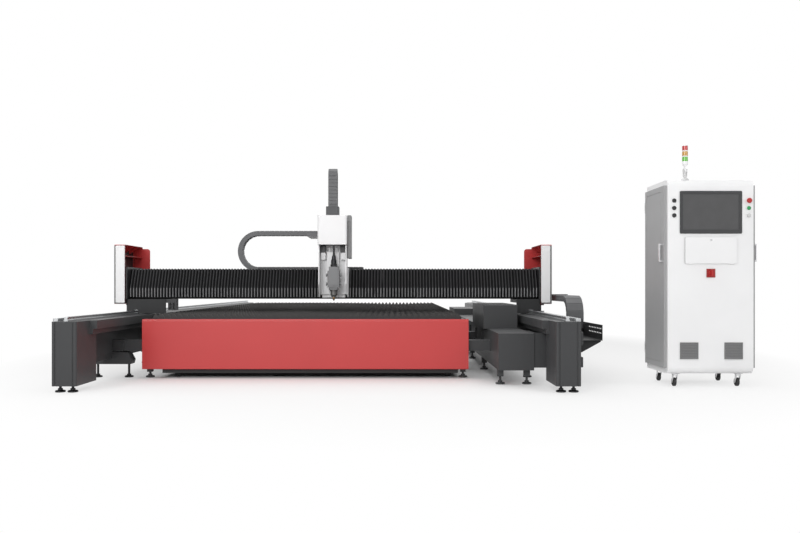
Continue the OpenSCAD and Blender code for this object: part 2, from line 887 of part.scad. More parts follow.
// A finned guard on the inner edge of the left saddle, given on the right side
module saddle_guard(inner) {
    fins = 3;
    fin_step = 36;
    guard_x = [inner - fins * fin_step, inner + weld];
    block(guard_x, [saddle_front, saddle_front + 80], [saddle_under, gantry_under]);
    for (i = [0:fins - 1])
        block(
            [guard_x[0] + i * fin_step, guard_x[0] + i * fin_step + 18],
            [saddle_front, saddle_front + 80],
            [slat_tip + 20, saddle_under + weld]
        );
}

module saddles() color("dimgray") framed() {
    left_inner = bed_half - 213;
    saddle(bed_half - 47);
    mirror([1, 0, 0]) {
        saddle(left_inner);
        saddle_guard(left_inner);
    }
}

module rail_blocks() color("silver") framed() both_sides()
    for (y = [saddle_front + 20, saddle_rear - 20 - block_len])
        difference() {
            block(
                [rail_mid - block_w / 2, rail_mid + block_w / 2],
                [y, y + block_len],
                [bed_top + 7, block_top]
            );
            block(
                [rail_mid - rail_w / 2 - rail_gap, rail_mid + rail_w / 2 + rail_gap],
                [y - 1, y + block_len + 1],
                [bed_top, bed_top + rail_h + rail_gap]
            );
        }

// The right end cover: a folded shell, open to the inside, with a return at its back
module end_cover() {
    outer = rounded([gantry_y, cover_back], [cover_under, cover_top], [12, cover_r, cover_r, 12]);
    inner = rounded(
        [gantry_y + sheet, cover_back - sheet], [cover_under + sheet, cover_top - sheet],
        [8, cover_r - sheet, cover_r - sheet, 8]
    );
    rib = cover_w - sheet;
    wall_x = cover_out - sheet;
    gusset_h = 90;
    difference() {
        along_x([cover_in, cover_out]) polygon(outer);
        along_x([cover_in - 1, wall_x]) polygon(inner);
        translate([drive_x, drive_y, cover_under - 1]) cylinder(d = gearbox_d + 6, h = sheet + 2);
    }
    for (z = [cover_under + 370, cover_under + 500])
        block([wall_x - rib, wall_x + 1], [gantry_y + 1, cover_back - 1], [z, z + sheet]);
    for (y = [gantry_y + 130, gantry_y + 290, gantry_y + 450])
        along_y([y, y + sheet]) polygon([
            [wall_x + 1, cover_top - 1], [cover_in + 8, cover_top - 1], [cover_in + 8, cover_top - 14],
            [wall_x + 1, cover_top - gusset_h]
        ]);
    along_y([cover_back - sheet, cover_back]) polygon(rounded(
        [cover_in - back_in, cover_in + weld], [gantry_under, cover_top - cover_r], [0, 0, 30, 0]
    ));
}

module end_covers() color("firebrick") framed() both_sides() end_cover();

module end_fascias() color("white") framed() both_sides()
    along_y([gantry_y - fascia_t, gantry_y]) polygon(rounded(
        [cover_in, cover_out - strip_w], [cover_under + 14, cover_top - 12], [10, 14, 6, 10]
    ));

// Right drive: motor, flange, gearbox and shaft on one vertical axis
module drive() {
    half = motor_w / 2;
    cap = half - 6;
    translate([drive_x, drive_y, 0]) {
        along_z([gantry_under, gantry_under + flange_t]) square(motor_w, center = true);
        along_z([gantry_under + flange_t, gantry_under + flange_t + motor_h])
            polygon(rounded([-half + 3, half - 3], [-half + 3, half - 3], even(12)));
        along_z([gantry_under + flange_t + motor_h, gantry_under + flange_t + motor_h + 40])
            polygon(rounded([-cap, cap], [-cap, cap], even(16)));
        translate([0, 0, gantry_under - 70]) cylinder(d = gearbox_d, h = 70);
        translate([0, 0, bed_top - 6]) cylinder(d = shaft_d, h = gantry_under - 70 - bed_top + 6);
    }
}

module y_motors() color("black") framed() both_sides() drive();

// Half the tooth angle of the pinion at radius r, seen from its middle
function involute(r) = let (a = acos(min(1, base_r / r))) tan(a) * 180 / pi - a;
function tooth_half(r) =
    (tooth_step / 2 - backlash) / (2 * pinion_r) * 180 / pi + involute(pinion_r) - involute(max(r, base_r));

// A spur pinion with a space turned to the angle start
module pinion(start) {
    radii = [root_r, base_r, (base_r + pinion_r) / 2, pinion_r, (pinion_r + tip_r) / 2, tip_r];
    last = len(radii) - 1;
    points = [
        for (i = [0:pinion_teeth - 1], k = [0:2 * last + 1])
            let (
                r = radii[k <= last ? k : 2 * last + 1 - k],
                side = k <= last ? -1 : 1,
                a = start + (i + 0.5) * 360 / pinion_teeth + side * tooth_half(r)
            ) [r * cos(a), r * sin(a)]
    ];
    difference() {
        along_z([bed_top + move_gap, bed_top + rack_h + 4]) polygon(points);
        translate([0, 0, bed_top - 10]) cylinder(d = shaft_d + 2 * pin_gap, h = 60);
    }
}

module pinion_right() color("silver") framed() translate([drive_x, drive_y, 0]) pinion(180);

module pinion_left() color("silver") framed() translate([-drive_x, drive_y, 0]) pinion(0);

module x_rails() color("lightgray") framed() {
    h = 30;
    w = 30;
    block(
        [-beam_half + 20, beam_half - 20],
        [beam_front - h, beam_front],
        [low_rail_z - w / 2, low_rail_z + w / 2]
    );
    block(
        [-beam_half + 20, beam_half - 20], [top_rail_y - w / 2, top_rail_y + w / 2],
        [gantry_top, gantry_top + h]
    );
}

module x_chain() color("gray") framed()
    along_y([x_chain_y, x_chain_y + x_chain_w]) translate([-x_chain_bend, x_chain_under])
        chain_outline(x_chain_fix + x_chain_bend, x_chain_end + x_chain_bend, x_chain_r, x_chain_t, 52);

// Pleated strip between two places along X, seen from above
module pleats(x) {
    n = round((x[1] - x[0]) / pleat_pitch);
    p = (x[1] - x[0]) / n;
    thick = 5;
    line = [for (i = [0:2 * n]) [x[0] + i * p / 2, i % 2 == 0 ? pleat_deep - thick : 0]];
    polygon(concat(line, [for (i = [2 * n:-1:0]) line[i] + [0, thick]]));
}

// One bellows: an upright lower skirt and an upper one that leans back
module bellows(x) {
    slant = (bellows_top - bellows_bend) / cos(bellows_lean);
    reach = bed_out;
    spare = pleat_deep;
    translate([0, pleat_front, bellows_bend]) {
        intersection() {
            along_z([bellows_under - bellows_bend, 1]) pleats(x);
            rotate([-bellows_lean / 2, 0, 0]) block([-reach, reach], [-200, 200], [-400, 0]);
        }
        intersection() {
            rotate([-bellows_lean, 0, 0]) along_z([-spare, slant]) pleats(x);
            rotate([-bellows_lean / 2, 0, 0]) block([-reach, reach], [-200, 400], [0, 400]);
        }
    }
}

bellows_in = carriage_half + 8;

module bellows_left() color("black") framed() bellows([-beam_half + 8, carriage_x - bellows_in]);

module bellows_right() color("black") framed() bellows([carriage_x + bellows_in, beam_half - 8]);

module chain_bracket() color("dimgray") framed() {
    z = y_chain_top + move_gap;
    t = 8;
    span = [y_chain_end - 90, y_chain_end + 20];
    block([cover_out + t, y_chain_x + y_chain_w], span, [z, z + t]);
    block([cover_out, cover_out + t], span, [cover_under + 20, z + t]);
}

// Carriage

module carriage_frame() color("white") framed() translate([carriage_x, 0, 0]) {
    flange = 12;
    flange_front = carriage_front + 35;
    lip = 70;
    hold = carriage_half - 25;
    arm_z = x_chain_mid - 28;
    arm_x = [-carriage_half - 140, -40];
    lean_y = (bellows_top - bellows_bend) * tan(bellows_lean);
    skirt = pleat_front + pleat_deep + 10;
    bore = 15 + rail_gap;
    block([-carriage_half, carriage_half], [plate_front, plate_back], [plate_under, cap_top - sheet]);
    for (x = [-carriage_half, carriage_half - flange])
        along_x([x, x + flange]) polygon([
            [plate_front, plate_under], [plate_front - lip, plate_under],
            [flange_front, plate_under + 106],
            [flange_front, cap_under - 2], [plate_front, cap_under - 2]
        ]);
    difference() {
        block([-hold, hold], [plate_back, beam_front - 4], [low_rail_z - 40, low_rail_z + 40]);
        block(
            [-hold - 1, hold + 1],
            [beam_front - 30 - rail_gap, beam_front],
            [low_rail_z - bore, low_rail_z + bore]
        );
    }
    block([-hold, hold], [plate_back, top_rail_y + 40], [gantry_top + 60, gantry_top + 90]);
    difference() {
        block([-hold, hold], [top_rail_y - 40, top_rail_y + 40], [gantry_top + 4, gantry_top + 60]);
        block(
            [-hold - 1, hold + 1],
            [top_rail_y - bore, top_rail_y + bore],
            [gantry_top, gantry_top + 30 + rail_gap]
        );
    }
    block(arm_x, [plate_back, x_chain_y + x_chain_w], [arm_z, x_chain_mid - move_gap]);
    along_y([x_chain_y, x_chain_y + 12])
        polygon([[-carriage_half - 60, arm_z], [-40, arm_z], [-40, arm_z - 90]]);
    for (x = [-bellows_in + 0.3, carriage_half])
        along_x([x, x + bellows_in - carriage_half - 0.3]) polygon([
            [plate_front + 4, bellows_under], [skirt, bellows_under], [skirt, bellows_bend],
            [skirt + lean_y, bellows_top], [plate_front + 4, bellows_top]
        ]);
}

module carriage_cover() color("white") framed() translate([carriage_x, 0, 0]) {
    half = carriage_half + 5;
    collar_x = 65;
    collar_y = [carriage_front + 25, plate_front - 20];
    chain_slot = z_chain_w / 2 + 2;
    slot_y = [z_chain_front - 2, z_chain_front + z_chain_t + 2];
    difference() {
        along_z([cap_under, cap_top])
            polygon(rounded([-half, half], [carriage_front, plate_front], [22, 0, 0, 22]));
        along_z([cap_under - 1, cap_top - sheet]) polygon(rounded(
            [-half + sheet, half - sheet], [carriage_front + sheet, plate_front + 1], [18, 0, 0, 18]
        ));
        block([-chain_slot, chain_slot], slot_y, [cap_top - sheet - 1, cap_top + 1]);
    }
    difference() {
        along_z([cap_top, cap_top + 92]) polygon(rounded([-collar_x, collar_x], collar_y, even(10)));
        block([-chain_slot, chain_slot], slot_y, [cap_top - 1, cap_top + 93]);
    }
}

module side_box() color("gray") framed() {
    x = carriage_x + carriage_half + 5;
    span = [carriage_front + 65, plate_back + 90];
    chamfer = 60;
    along_x([x, x + 36]) polygon([
        [span[0], cap_under - 136], [span[1], cap_under - 136], [span[1], cap_top + 10],
        [span[0] + chamfer, cap_top + 10], [span[0], cap_top + 10 - chamfer]
    ]);
}

module z_guides() color("silver") framed() translate([carriage_x, 0, 0]) {
    rail = 20;
    rail_x = slide_w / 2 - 22;
    pad = [slide_w / 2 + 14, carriage_half - 16];
    for (side = [-1, 1]) {
        block(
            [side * rail_x - rail / 2, side * rail_x + rail / 2], [plate_front - rail, plate_front],
            [plate_under + 30, cap_under - 20]
        );
        translate([side > 0 ? pad[0] : -pad[1], 0, 0]) {
            block([0, pad[1] - pad[0]], [plate_front - 70, plate_front], [cap_under - 77, cap_under - 2]);
            block(
                [4, pad[1] - pad[0] - 4],
                [plate_front - 56, plate_front],
                [cap_under - 150, cap_under - 77]
            );
        }
    }
}

module z_chain() color("gray") framed() {
    low = cap_top + 4;
    top = z_chain_top - z_chain_r;
    translate([carriage_x, z_chain_front, top])
        along_x([-z_chain_w / 2, z_chain_w / 2]) rotate(-90)
            chain_outline(top - low, top - cap_top + sheet, z_chain_r, z_chain_t, 36);
}

// Head

module head_plate() color("white") framed() translate([carriage_x, 0, 0]) {
    rail_x = slide_w / 2 - 22;
    block(
        [-slide_w / 2, slide_w / 2],
        [slide_front, slide_front + slide_t],
        [head_under + 10, cap_under - 70]
    );
    for (side = [-1, 1], z = [head_under + 60, cap_under - 190])
        difference() {
            block(
                [side * rail_x - 20, side * rail_x + 20], [slide_front + slide_t, plate_front - 6],
                [z, z + 70]
            );
            block(
                [side * rail_x - 10 - rail_gap, side * rail_x + 10 + rail_gap],
                [plate_front - 20 - rail_gap, plate_front], [z - 1, z + 71]
            );
        }
}

module cutting_head() color("silver") framed() translate([head_x, head_mid_y, 0]) {
    half = head_w / 2;
    deep = head_deep / 2;
    knob_r = 17;
    neck = 24;
    cap_h = 40;
    along_z([head_under + neck - 1, head_top - cap_h])
        polygon(rounded([-half, half], [-deep, deep], even(5)));
    along_z([head_top - cap_h - 1, head_top])
        polygon(rounded([-half + 12, half - 12], [-deep + 12, deep], even(6)));
    along_z([head_under, head_under + neck])
        polygon(rounded([-half + 14, half - 14], [-deep + 14, deep - 14], even(12)));
    for (side = [-1, 1], z = [head_under + 60, head_under + 150])
        translate([side * half, -deep / 3, z]) rotate([0, side * 90, 0]) {
            translate([0, 0, -1]) cylinder(r = knob_r - 6, h = 8);
            translate([0, 0, 6]) cylinder(r = knob_r, h = 12);
        }
    along_y([-deep - 6, -deep + 1])
        polygon(rounded([-half + 14, half - 14], [head_under + 44, head_top - cap_h - 16], even(6)));
}

module nozzle() color("goldenrod") framed() translate([head_x, head_mid_y, 0])
    rotate_extrude() polygon([
        [0, nozzle_tip], [4, nozzle_tip], [14, nozzle_tip + 20],
        [14, nozzle_tip + 34], [26, nozzle_tip + 40],
        [26, nozzle_tip + 50], [34, nozzle_tip + 56], [34, head_under - 14], [40, head_under - 10],
        [40, head_under], [0, head_under]
    ]);

module fibre_connector() color("dimgray") framed() translate([head_x, head_mid_y, 0])
    rotate_extrude() polygon([
        [0, head_top], [34, head_top], [34, head_top + 22], [27, head_top + 28], [27, head_top + 70],
        [22, head_top + 76], [18, head_top + 113], [11, head_top + 118],
        [11, cap_under + 60], [0, cap_under + 60]
    ]);

// Cabinet

// Hinge lugs and pin on the left side of the cabinet, at height z
module door_lug(z) {
    axis_x = cab_left - door_t + hinge_r;
    lug_h = 22;
    for (dz = [-lug_h, 50])
        block(
            [axis_x - hinge_r, cab_left],
            [hinge_y - hinge_r, hinge_y + hinge_r],
            [z + dz, z + dz + lug_h]
        );
    translate([axis_x, hinge_y, z - lug_h]) cylinder(r = hinge_pin_r, h = 50 + 2 * lug_h);
}

door_hinges = [door_under + 120, door_top - 170];

// Mirrors a piece of the cabinet's left side to its right side
module cabinet_mirror() translate([2 * cab_mid, 0, 0]) mirror([1, 0, 0]) children();

module cabinet_shell() color("whitesmoke") framed() {
    y = [cab_front, cab_back];
    z = [cab_under, cab_top];
    opening = [[door_front + 40, door_rear - 40], [door_under + 40, door_top - 40]];
    difference() {
        along_x([cab_left, cab_right]) polygon(rounded(y, z, [0, 0, cab_r, cab_r]));
        along_x([cab_left + cab_wall, cab_right - cab_wall]) polygon(rounded(
            [y[0] + cab_wall, y[1] - cab_wall], [z[0] + cab_wall, z[1] - cab_wall],
            [0, 0, cab_r - cab_wall, cab_r - cab_wall]
        ));
        block([cab_left - 1, cab_right + 1], opening[0], opening[1]);
        for (x = [socket_x, button_x], zz = row_z)
            translate([x, cab_front + cab_wall + 1, zz])
                rotate([90, 0, 0]) cylinder(r = 11 + pin_gap, h = cab_wall + 2);
        translate([cab_mid, cab_front + cab_wall + 1, switch_z]) rotate([90, 0, 0])
            cylinder(r = 6 + pin_gap, h = cab_wall + 2);
        for (x = caster_x, yy = caster_y)
            translate([x, yy, cab_under - 1]) cylinder(r = 6, h = cab_wall + 2);
    }
    for (z = door_hinges) {
        door_lug(z);
        cabinet_mirror() door_lug(z);
    }
    for (x = caster_x, yy = caster_y)
        difference() {
            block([x - 32, x + 32], [yy - 32, yy + 32], [cab_under - 4, cab_under]);
            translate([x, yy, cab_under - 5]) cylinder(r = 5 + pin_gap, h = 6);
        }
    for (x = [cab_mid - flap_w / 2 + 30, cab_mid + flap_w / 2 - 60])
        flap_lug(x);
    for (x = vent_x)
        block([x, x + vent_w], [cab_front - 10, cab_front + 1], [vent_z - 9, vent_z - 2]);
}

// A hinge lug and pin for the keyboard flap
module flap_lug(x) {
    lug = 14;
    block([x - lug, x], [flap_axis_y, cab_front + 1], [flap_axis_z - flap_barrel_r, flap_axis_z]);
    translate([x - lug, flap_axis_y, flap_axis_z])
        rotate([0, 90, 0]) cylinder(r = flap_barrel_r, h = lug);
    translate([x - 1, flap_axis_y, flap_axis_z]) rotate([0, 90, 0]) cylinder(r = flap_pin_r, h = 32);
}

module cabinet_fittings() color("silver") framed() {
    back = cab_back - cab_wall;
    low = cab_under + cab_wall;
    block([cab_left + 60, cab_right - 60], [back - 12, back], [low + 120, cab_top - 200]);
    block([cab_left + 110, cab_right - 110], [cab_front + 120, back - 12], [low, low + 320]);
    for (i = [0:3])
        block(
            [cab_left + 110 + i * 130, cab_left + 210 + i * 130], [back - 190, back - 12],
            [low + 420, low + 700]
        );
    for (z = [low + 820, low + 1010])
        block([cab_left + 110, cab_right - 110], [back - 110, back - 12], [z, z + 90]);
}

// Left side door: a folded pan with a raised field, handle and hinge knuckles
module side_door() {
    x = [cab_left - door_t, cab_left - move_gap];
    axis_x = cab_left - door_t + hinge_r;
    pan = 3;
    margin = 45;
    groove = 8;
    handle_z = (door_under + door_top) / 2 + 210;
    handle_y = door_front + 32;
    difference() {
        block(x, [door_front, door_rear], [door_under, door_top]);
        block(
            [x[0] + pan + 4, x[1] + 1], [door_front + pan, door_rear - pan],
            [door_under + pan, door_top - pan]
        );
        difference() {
            block(
                [x[0] - 1, x[0] + 3], [door_front + margin + 30, door_rear - margin],
                [door_under + margin, door_top - margin]
            );
            block(
                [x[0] - 2, x[0] + 4], [door_front + margin + 30 + groove, door_rear - margin - groove],
                [door_under + margin + groove, door_top - margin - groove]
            );
        }
    }
    for (z = door_hinges)
        difference() {
            union() {
                translate([axis_x, hinge_y, z + move_gap]) cylinder(r = hinge_r, h = 50 - 2 * move_gap);
                block([x[0], axis_x], [door_rear - 1, hinge_y], [z + move_gap, z + 50 - move_gap]);
            }
            translate([axis_x, hinge_y, z - 1]) cylinder(r = hinge_pin_r + pin_gap, h = 52);
        }
    difference() {
        along_y([handle_y, handle_y + 24])
            polygon(rounded([x[0] - handle_out, x[0] + weld], [handle_z - 80, handle_z + 80], [0, 0, 8, 8]));
        block(
            [x[0] - handle_out + 10, x[0] + 1],
            [handle_y - 1, handle_y + 25],
            [handle_z - 66, handle_z + 66]
        );
    }
}

module door_left() color("gray") framed() side_door();

module door_right() color("gray") framed() cabinet_mirror() side_door();

module monitor() color("darkslategray") framed() {
    bezel = 9;
    x = [cab_mid - screen_w / 2, cab_mid + screen_w / 2];
    z = [screen_top - screen_h, screen_top];
    difference() {
        along_y([cab_front - bezel, cab_front]) polygon(rounded(x, z, even(10)));
        block(
            [x[0] + 26, x[1] - 26],
            [cab_front - bezel - 1, cab_front - bezel + 5],
            [z[0] + 34, z[1] - 26]
        );
    }
}

module keyboard_flap() color("whitesmoke") framed() {
    x = [cab_mid - flap_w / 2, cab_mid + flap_w / 2];
    y = [cab_front - move_gap - flap_t, cab_front - move_gap];
    wide = 31;
    difference() {
        union() {
            along_y(y) polygon(rounded(x, [flap_axis_z + flap_barrel_r + move_gap, flap_top], even(8)));
            for (dx = [30, flap_w - 60])
                translate([x[0] + dx + move_gap, flap_axis_y, flap_axis_z]) rotate([0, 90, 0])
                    cylinder(r = flap_barrel_r, h = wide - 2 * move_gap);
            for (dx = [30, flap_w - 60])
                block(
                    [x[0] + dx + move_gap, x[0] + dx + wide - move_gap],
                    [y[0], flap_axis_y], [flap_axis_z, flap_axis_z + flap_barrel_r + 2]
                );
        }
        for (dx = [30, flap_w - 60])
            translate([x[0] + dx - 1, flap_axis_y, flap_axis_z]) rotate([0, 90, 0])
                cylinder(r = flap_pin_r + pin_gap, h = wide + 4);
    }
    translate([cab_mid, y[0], flap_top - 24]) rotate([90, 0, 0]) cylinder(r = 9, h = 5);
}

// A louvred vent over the span x
module vent(x) {
    frame_t = 6;
    blades = 9;
    step = (vent_h - 20) / blades;
    difference() {
        block(x, [cab_front - frame_t, cab_front], [vent_z, vent_z + vent_h]);
        for (i = [0:blades - 1])
            along_x([x[0] + 10, x[1] - 10]) translate([cab_front - frame_t, vent_z + 11 + i * step])
                polygon([[-1, 0], [4, step * 0.72], [4, step * 0.8], [-1, step * 0.8]]);
    }
}

module front_vents() color("gray") framed()
    for (x = vent_x) vent([x, x + vent_w]);

module panel_fittings() color("black") framed() {
    for (z = row_z)
        translate([socket_x, cab_front + cab_wall + 6, z]) rotate([90, 0, 0]) {
            cylinder(r = 11, h = cab_wall + 6);
            translate([0, 0, cab_wall + 6]) difference() {
                cylinder(r = 18, h = 10);
                translate([0, 0, 4]) cylinder(r = 12, h = 7);
            }
        }
    difference() {
        block(
            [cab_mid - switch_side / 2, cab_mid + switch_side / 2], [cab_front - 7, cab_front],
            [switch_z - switch_side / 2, switch_z + switch_side / 2]
        );
        translate([cab_mid, cab_front + 1, switch_z]) rotate([90, 0, 0]) cylinder(r = 6 + pin_gap, h = 9);
    }
}

module switch_handle() color("firebrick") framed()
translate([cab_mid, cab_front, switch_z]) rotate([90, 0, 0]) {
    translate([0, 0, -cab_wall - 10]) cylinder(r = 6, h = cab_wall + 18);
    translate([0, 0, 7.5]) cylinder(r = 25, h = 12);
    translate([-7, -28, 19.5]) cube([14, 56, 16]);
}

// A push button with a stem through the cabinet front
module push_button(z, r, h, stand) translate([button_x, cab_front, z]) rotate([90, 0, 0]) {
    translate([0, 0, -cab_wall - 16]) cylinder(r = 11, h = cab_wall + 16 + stand);
    translate([0, 0, stand]) rotate_extrude()
        polygon([[0, 0], [r, 0], [r, h - 4], [r - 4, h], [0, h]]);
}

module estop_button() color("red") framed() push_button(row_z[0], 22, 16, 12);

module start_button() color("green") framed() push_button(row_z[1], 17, 9, 6);

module reset_button() color("white") framed() push_button(row_z[2], 17, 9, 6);

// Caster at the origin of its swivel axis: the fork
module caster_fork(x, y) translate([x, y, 0]) {
    leg = 3;
    gap = wheel_w / 2 + 2;
    crown_under = crown_top - crown_h;
    translate([0, 0, crown_under]) cylinder(r = 26, h = crown_h);
    translate([0, 0, crown_top - 1]) cylinder(r = 5, h = 5);
    for (s = [-gap - leg, gap])
        along_x([s, s + leg]) polygon([
            [-18, crown_under + 2], [caster_trail - 9, wheel_r - 6], [caster_trail - 4, wheel_r - 10],
            [caster_trail + 4, wheel_r - 10], [caster_trail + 9, wheel_r - 4], [19, crown_under + 2]
        ]);
    translate([-gap - leg - 2, caster_trail, wheel_r])
        rotate([0, 90, 0]) cylinder(r = 4, h = 2 * (gap + leg + 2));
}

module caster_wheel(x, y) translate([x, y + caster_trail, wheel_r]) rotate([0, 90, 0])
    translate([0, 0, -wheel_w / 2]) rotate_extrude() polygon([
        [4 + pin_gap, 0], [14, 0], [14, 4], [wheel_r - 9, 4],
        [wheel_r - 9, 1], [wheel_r - 4, 1], [wheel_r, 5],
        [wheel_r, wheel_w - 5], [wheel_r - 4, wheel_w - 1], [wheel_r - 9, wheel_w - 1],
        [wheel_r - 9, wheel_w - 4], [14, wheel_w - 4], [14, wheel_w], [4 + pin_gap, wheel_w]
    ]);

module caster_fork_front_left() color("silver") framed() caster_fork(caster_x[0], caster_y[0]);

module caster_fork_front_right() color("silver") framed() caster_fork(caster_x[1], caster_y[0]);

module caster_fork_rear_left() color("silver") framed() caster_fork(caster_x[0], caster_y[1]);

module caster_fork_rear_right() color("silver") framed() caster_fork(caster_x[1], caster_y[1]);

module caster_wheel_front_left() color("black") framed() caster_wheel(caster_x[0], caster_y[0]);

module caster_wheel_front_right() color("black") framed() caster_wheel(caster_x[1], caster_y[0]);

module caster_wheel_rear_left() color("black") framed() caster_wheel(caster_x[0], caster_y[1]);

module caster_wheel_rear_right() color("black") framed() caster_wheel(caster_x[1], caster_y[1]);

// Signal lamp

lamp_fork = 9;
lamp_barrel = 20;

module lamp_base() color("dimgray") framed() translate([lamp_x, lamp_y, 0]) {
    cheek = 6;
    translate([0, 0, cab_top]) rotate_extrude()
        polygon([[0, 0], [32, 0], [32, 8], [13, lamp_base_h], [13, lamp_base_h + 20], [0, lamp_base_h + 20]]);
    for (s = [-lamp_fork - cheek, lamp_fork])
        along_x([s, s + cheek]) polygon(concat(
            [[-12, cab_top + lamp_base_h + 10], [12, cab_top + lamp_base_h + 10]],
            [for (i = [0:8]) [lamp_barrel * cos(i * 22.5), lamp_axis_z + lamp_barrel * sin(i * 22.5)]]
        ));
    block(
        [-lamp_fork - cheek, lamp_fork + cheek],
        [-12, 12],
        [cab_top + lamp_base_h + 8, cab_top + lamp_base_h + 20]
    );
    translate([-lamp_fork - cheek - 3, 0, lamp_axis_z]) rotate([0, 90, 0])
        cylinder(r = 5, h = 2 * (lamp_fork + cheek + 3));
}

tower_z = lamp_axis_z + 48;
lens_z = [for (i = [0:2]) tower_z + 36 + i * (lens_h + 10)];

module lamp_tower() color("white") framed() translate([lamp_x, lamp_y, 0]) {
    r = lamp_d / 2;
    tongue = lamp_fork - move_gap;
    difference() {
        union() {
            translate([-tongue, 0, lamp_axis_z])
                rotate([0, 90, 0]) cylinder(r = lamp_barrel - 3, h = 2 * tongue);
            block([-tongue, tongue], [-11, 11], [lamp_axis_z, tower_z]);
        }
        translate([-tongue - 1, 0, lamp_axis_z])
            rotate([0, 90, 0]) cylinder(r = 5 + pin_gap, h = 2 * tongue + 2);
    }
    translate([0, 0, tower_z]) rotate_extrude() polygon([
        [0, 0], [r - 8, 0], [r, 8], [r, 36], [0, 36]
    ]);
    for (i = [0, 1])
        translate([0, 0, lens_z[i] + lens_h]) cylinder(r = r - 1, h = 10);
    translate([0, 0, lens_z[2] + lens_h]) rotate_extrude()
        polygon([[0, 0], [r, 0], [r, 5], [r - 6, 10], [0, 12]]);
}

module lamp_lenses() color("orange") framed() translate([lamp_x, lamp_y, 0])
    for (z = lens_z) translate([0, 0, z]) cylinder(d = lamp_d, h = lens_h);

bed_left();
bed_right();
leveling_feet();
guide_rails();
gear_racks();
cross_beams();
table_frame();
table_front_panel();
cutting_slats();
extraction_duct();
y_chain_trough();
y_chain();
slag_tray();
tray_axle_front();
tray_axle_rear();
gantry_beam();
saddles();
rail_blocks();
end_covers();
end_fascias();
y_motors();
pinion_left();
pinion_right();
x_rails();
x_chain();
bellows_left();
bellows_right();
chain_bracket();
carriage_frame();
carriage_cover();
side_box();
z_guides();
z_chain();
head_plate();
cutting_head();
nozzle();
fibre_connector();
cabinet_shell();
cabinet_fittings();
door_left();
door_right();
monitor();
keyboard_flap();
front_vents();
panel_fittings();
switch_handle();
estop_button();
start_button();
reset_button();
caster_fork_front_left();
caster_fork_front_right();
caster_fork_rear_left();
caster_fork_rear_right();
caster_wheel_front_left();
caster_wheel_front_right();
caster_wheel_rear_left();
caster_wheel_rear_right();
lamp_base();
lamp_tower();
lamp_lenses();
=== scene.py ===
# %% [markdown]
# # A gantry laser cutting machine
# The machine is a wide, low table between two long beds. A gantry drives along the beds, a carriage
# runs across it with the cutting head, and a cabinet on casters stands beside them. The imported model
# holds every solid at its real size, so nothing has to be modelled twice. This lesson dresses those
# solids: edges get small bevels, each finish is built from procedural nodes, and the drag chains are
# cut into pieces at their bends.

# %% Load the frame
import json
import math

import bpy
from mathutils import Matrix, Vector


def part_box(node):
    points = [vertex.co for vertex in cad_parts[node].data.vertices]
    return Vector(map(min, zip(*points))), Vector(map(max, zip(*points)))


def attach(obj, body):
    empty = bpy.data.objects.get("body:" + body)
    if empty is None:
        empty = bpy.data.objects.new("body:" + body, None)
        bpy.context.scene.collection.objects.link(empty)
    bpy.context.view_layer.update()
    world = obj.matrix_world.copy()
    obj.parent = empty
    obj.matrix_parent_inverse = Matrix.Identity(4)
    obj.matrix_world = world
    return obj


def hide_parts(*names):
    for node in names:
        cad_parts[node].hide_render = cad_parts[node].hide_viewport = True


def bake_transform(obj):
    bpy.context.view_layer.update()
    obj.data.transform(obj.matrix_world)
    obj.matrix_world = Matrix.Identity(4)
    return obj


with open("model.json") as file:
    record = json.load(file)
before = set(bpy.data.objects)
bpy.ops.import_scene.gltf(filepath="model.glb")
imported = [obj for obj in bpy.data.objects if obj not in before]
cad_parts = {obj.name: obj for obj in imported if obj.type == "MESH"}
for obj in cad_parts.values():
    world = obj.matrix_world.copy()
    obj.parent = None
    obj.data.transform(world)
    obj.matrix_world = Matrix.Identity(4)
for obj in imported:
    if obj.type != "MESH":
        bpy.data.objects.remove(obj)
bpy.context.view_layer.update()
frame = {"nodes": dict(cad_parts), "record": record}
print("frame loaded:", len(frame["nodes"]), "nodes")

# %% [markdown]
# A machine builder measures from the centre line, from the front of the beds and from the floor, in
# millimetres. Typed-in metres would work too, but they would go wrong as soon as the model is moved.
# So `at` takes a measured place and turns it into the frame's metres. It reads the centre line and
# the bed front from the solids.

# %% Machine places
MM = 0.001
cover_low, cover_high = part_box("end_covers")
bed_low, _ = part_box("bed_left")
centre_x = (cover_low.x + cover_high.x) / 2
front_y = bed_low.y


def at(x, y, z):
    """A place on the machine, from millimetres to the frame's metres."""
    return Vector((centre_x + x * MM, front_y + y * MM, z * MM))


print("machine centre line at x =", round(centre_x, 3), "and bed front at y =", round(front_y, 3))

# %% [markdown]
# The photograph is a frontal product shot. The lines that run to the back meet at one point, a little
# left of and below the middle of the picture. The camera could be tilted until that point fits, but
# then upright edges would lean. A level camera with a shifted lens keeps them upright, as in the photo.
# The meeting point gives the shift, and the size of the cabinet gives the distance.

# %% Camera
PHOTO_W, PHOTO_H = 800, 533
VANISH_X, VANISH_Y = 395, 287
FOCAL_PX = 800
SENSOR_MM = 36
CLIP_END = 200
EYE = at(646, -6566, 870)

deg = math.radians
bpy.ops.object.select_all(action="DESELECT")
bpy.ops.object.camera_add(location=EYE, rotation=(deg(90), 0, 0))
camera = bpy.context.object
camera.name = "photo_camera"
camera.data.sensor_width = SENSOR_MM
camera.data.lens = SENSOR_MM * FOCAL_PX / PHOTO_W
camera.data.shift_x = (PHOTO_W / 2 - VANISH_X) / PHOTO_W
camera.data.shift_y = (VANISH_Y - PHOTO_H / 2) / PHOTO_W
camera.data.clip_end = CLIP_END
bpy.context.scene.camera = camera
bpy.context.scene.view_settings.view_transform = "Standard"
print("camera at", [round(c, 2) for c in camera.location])

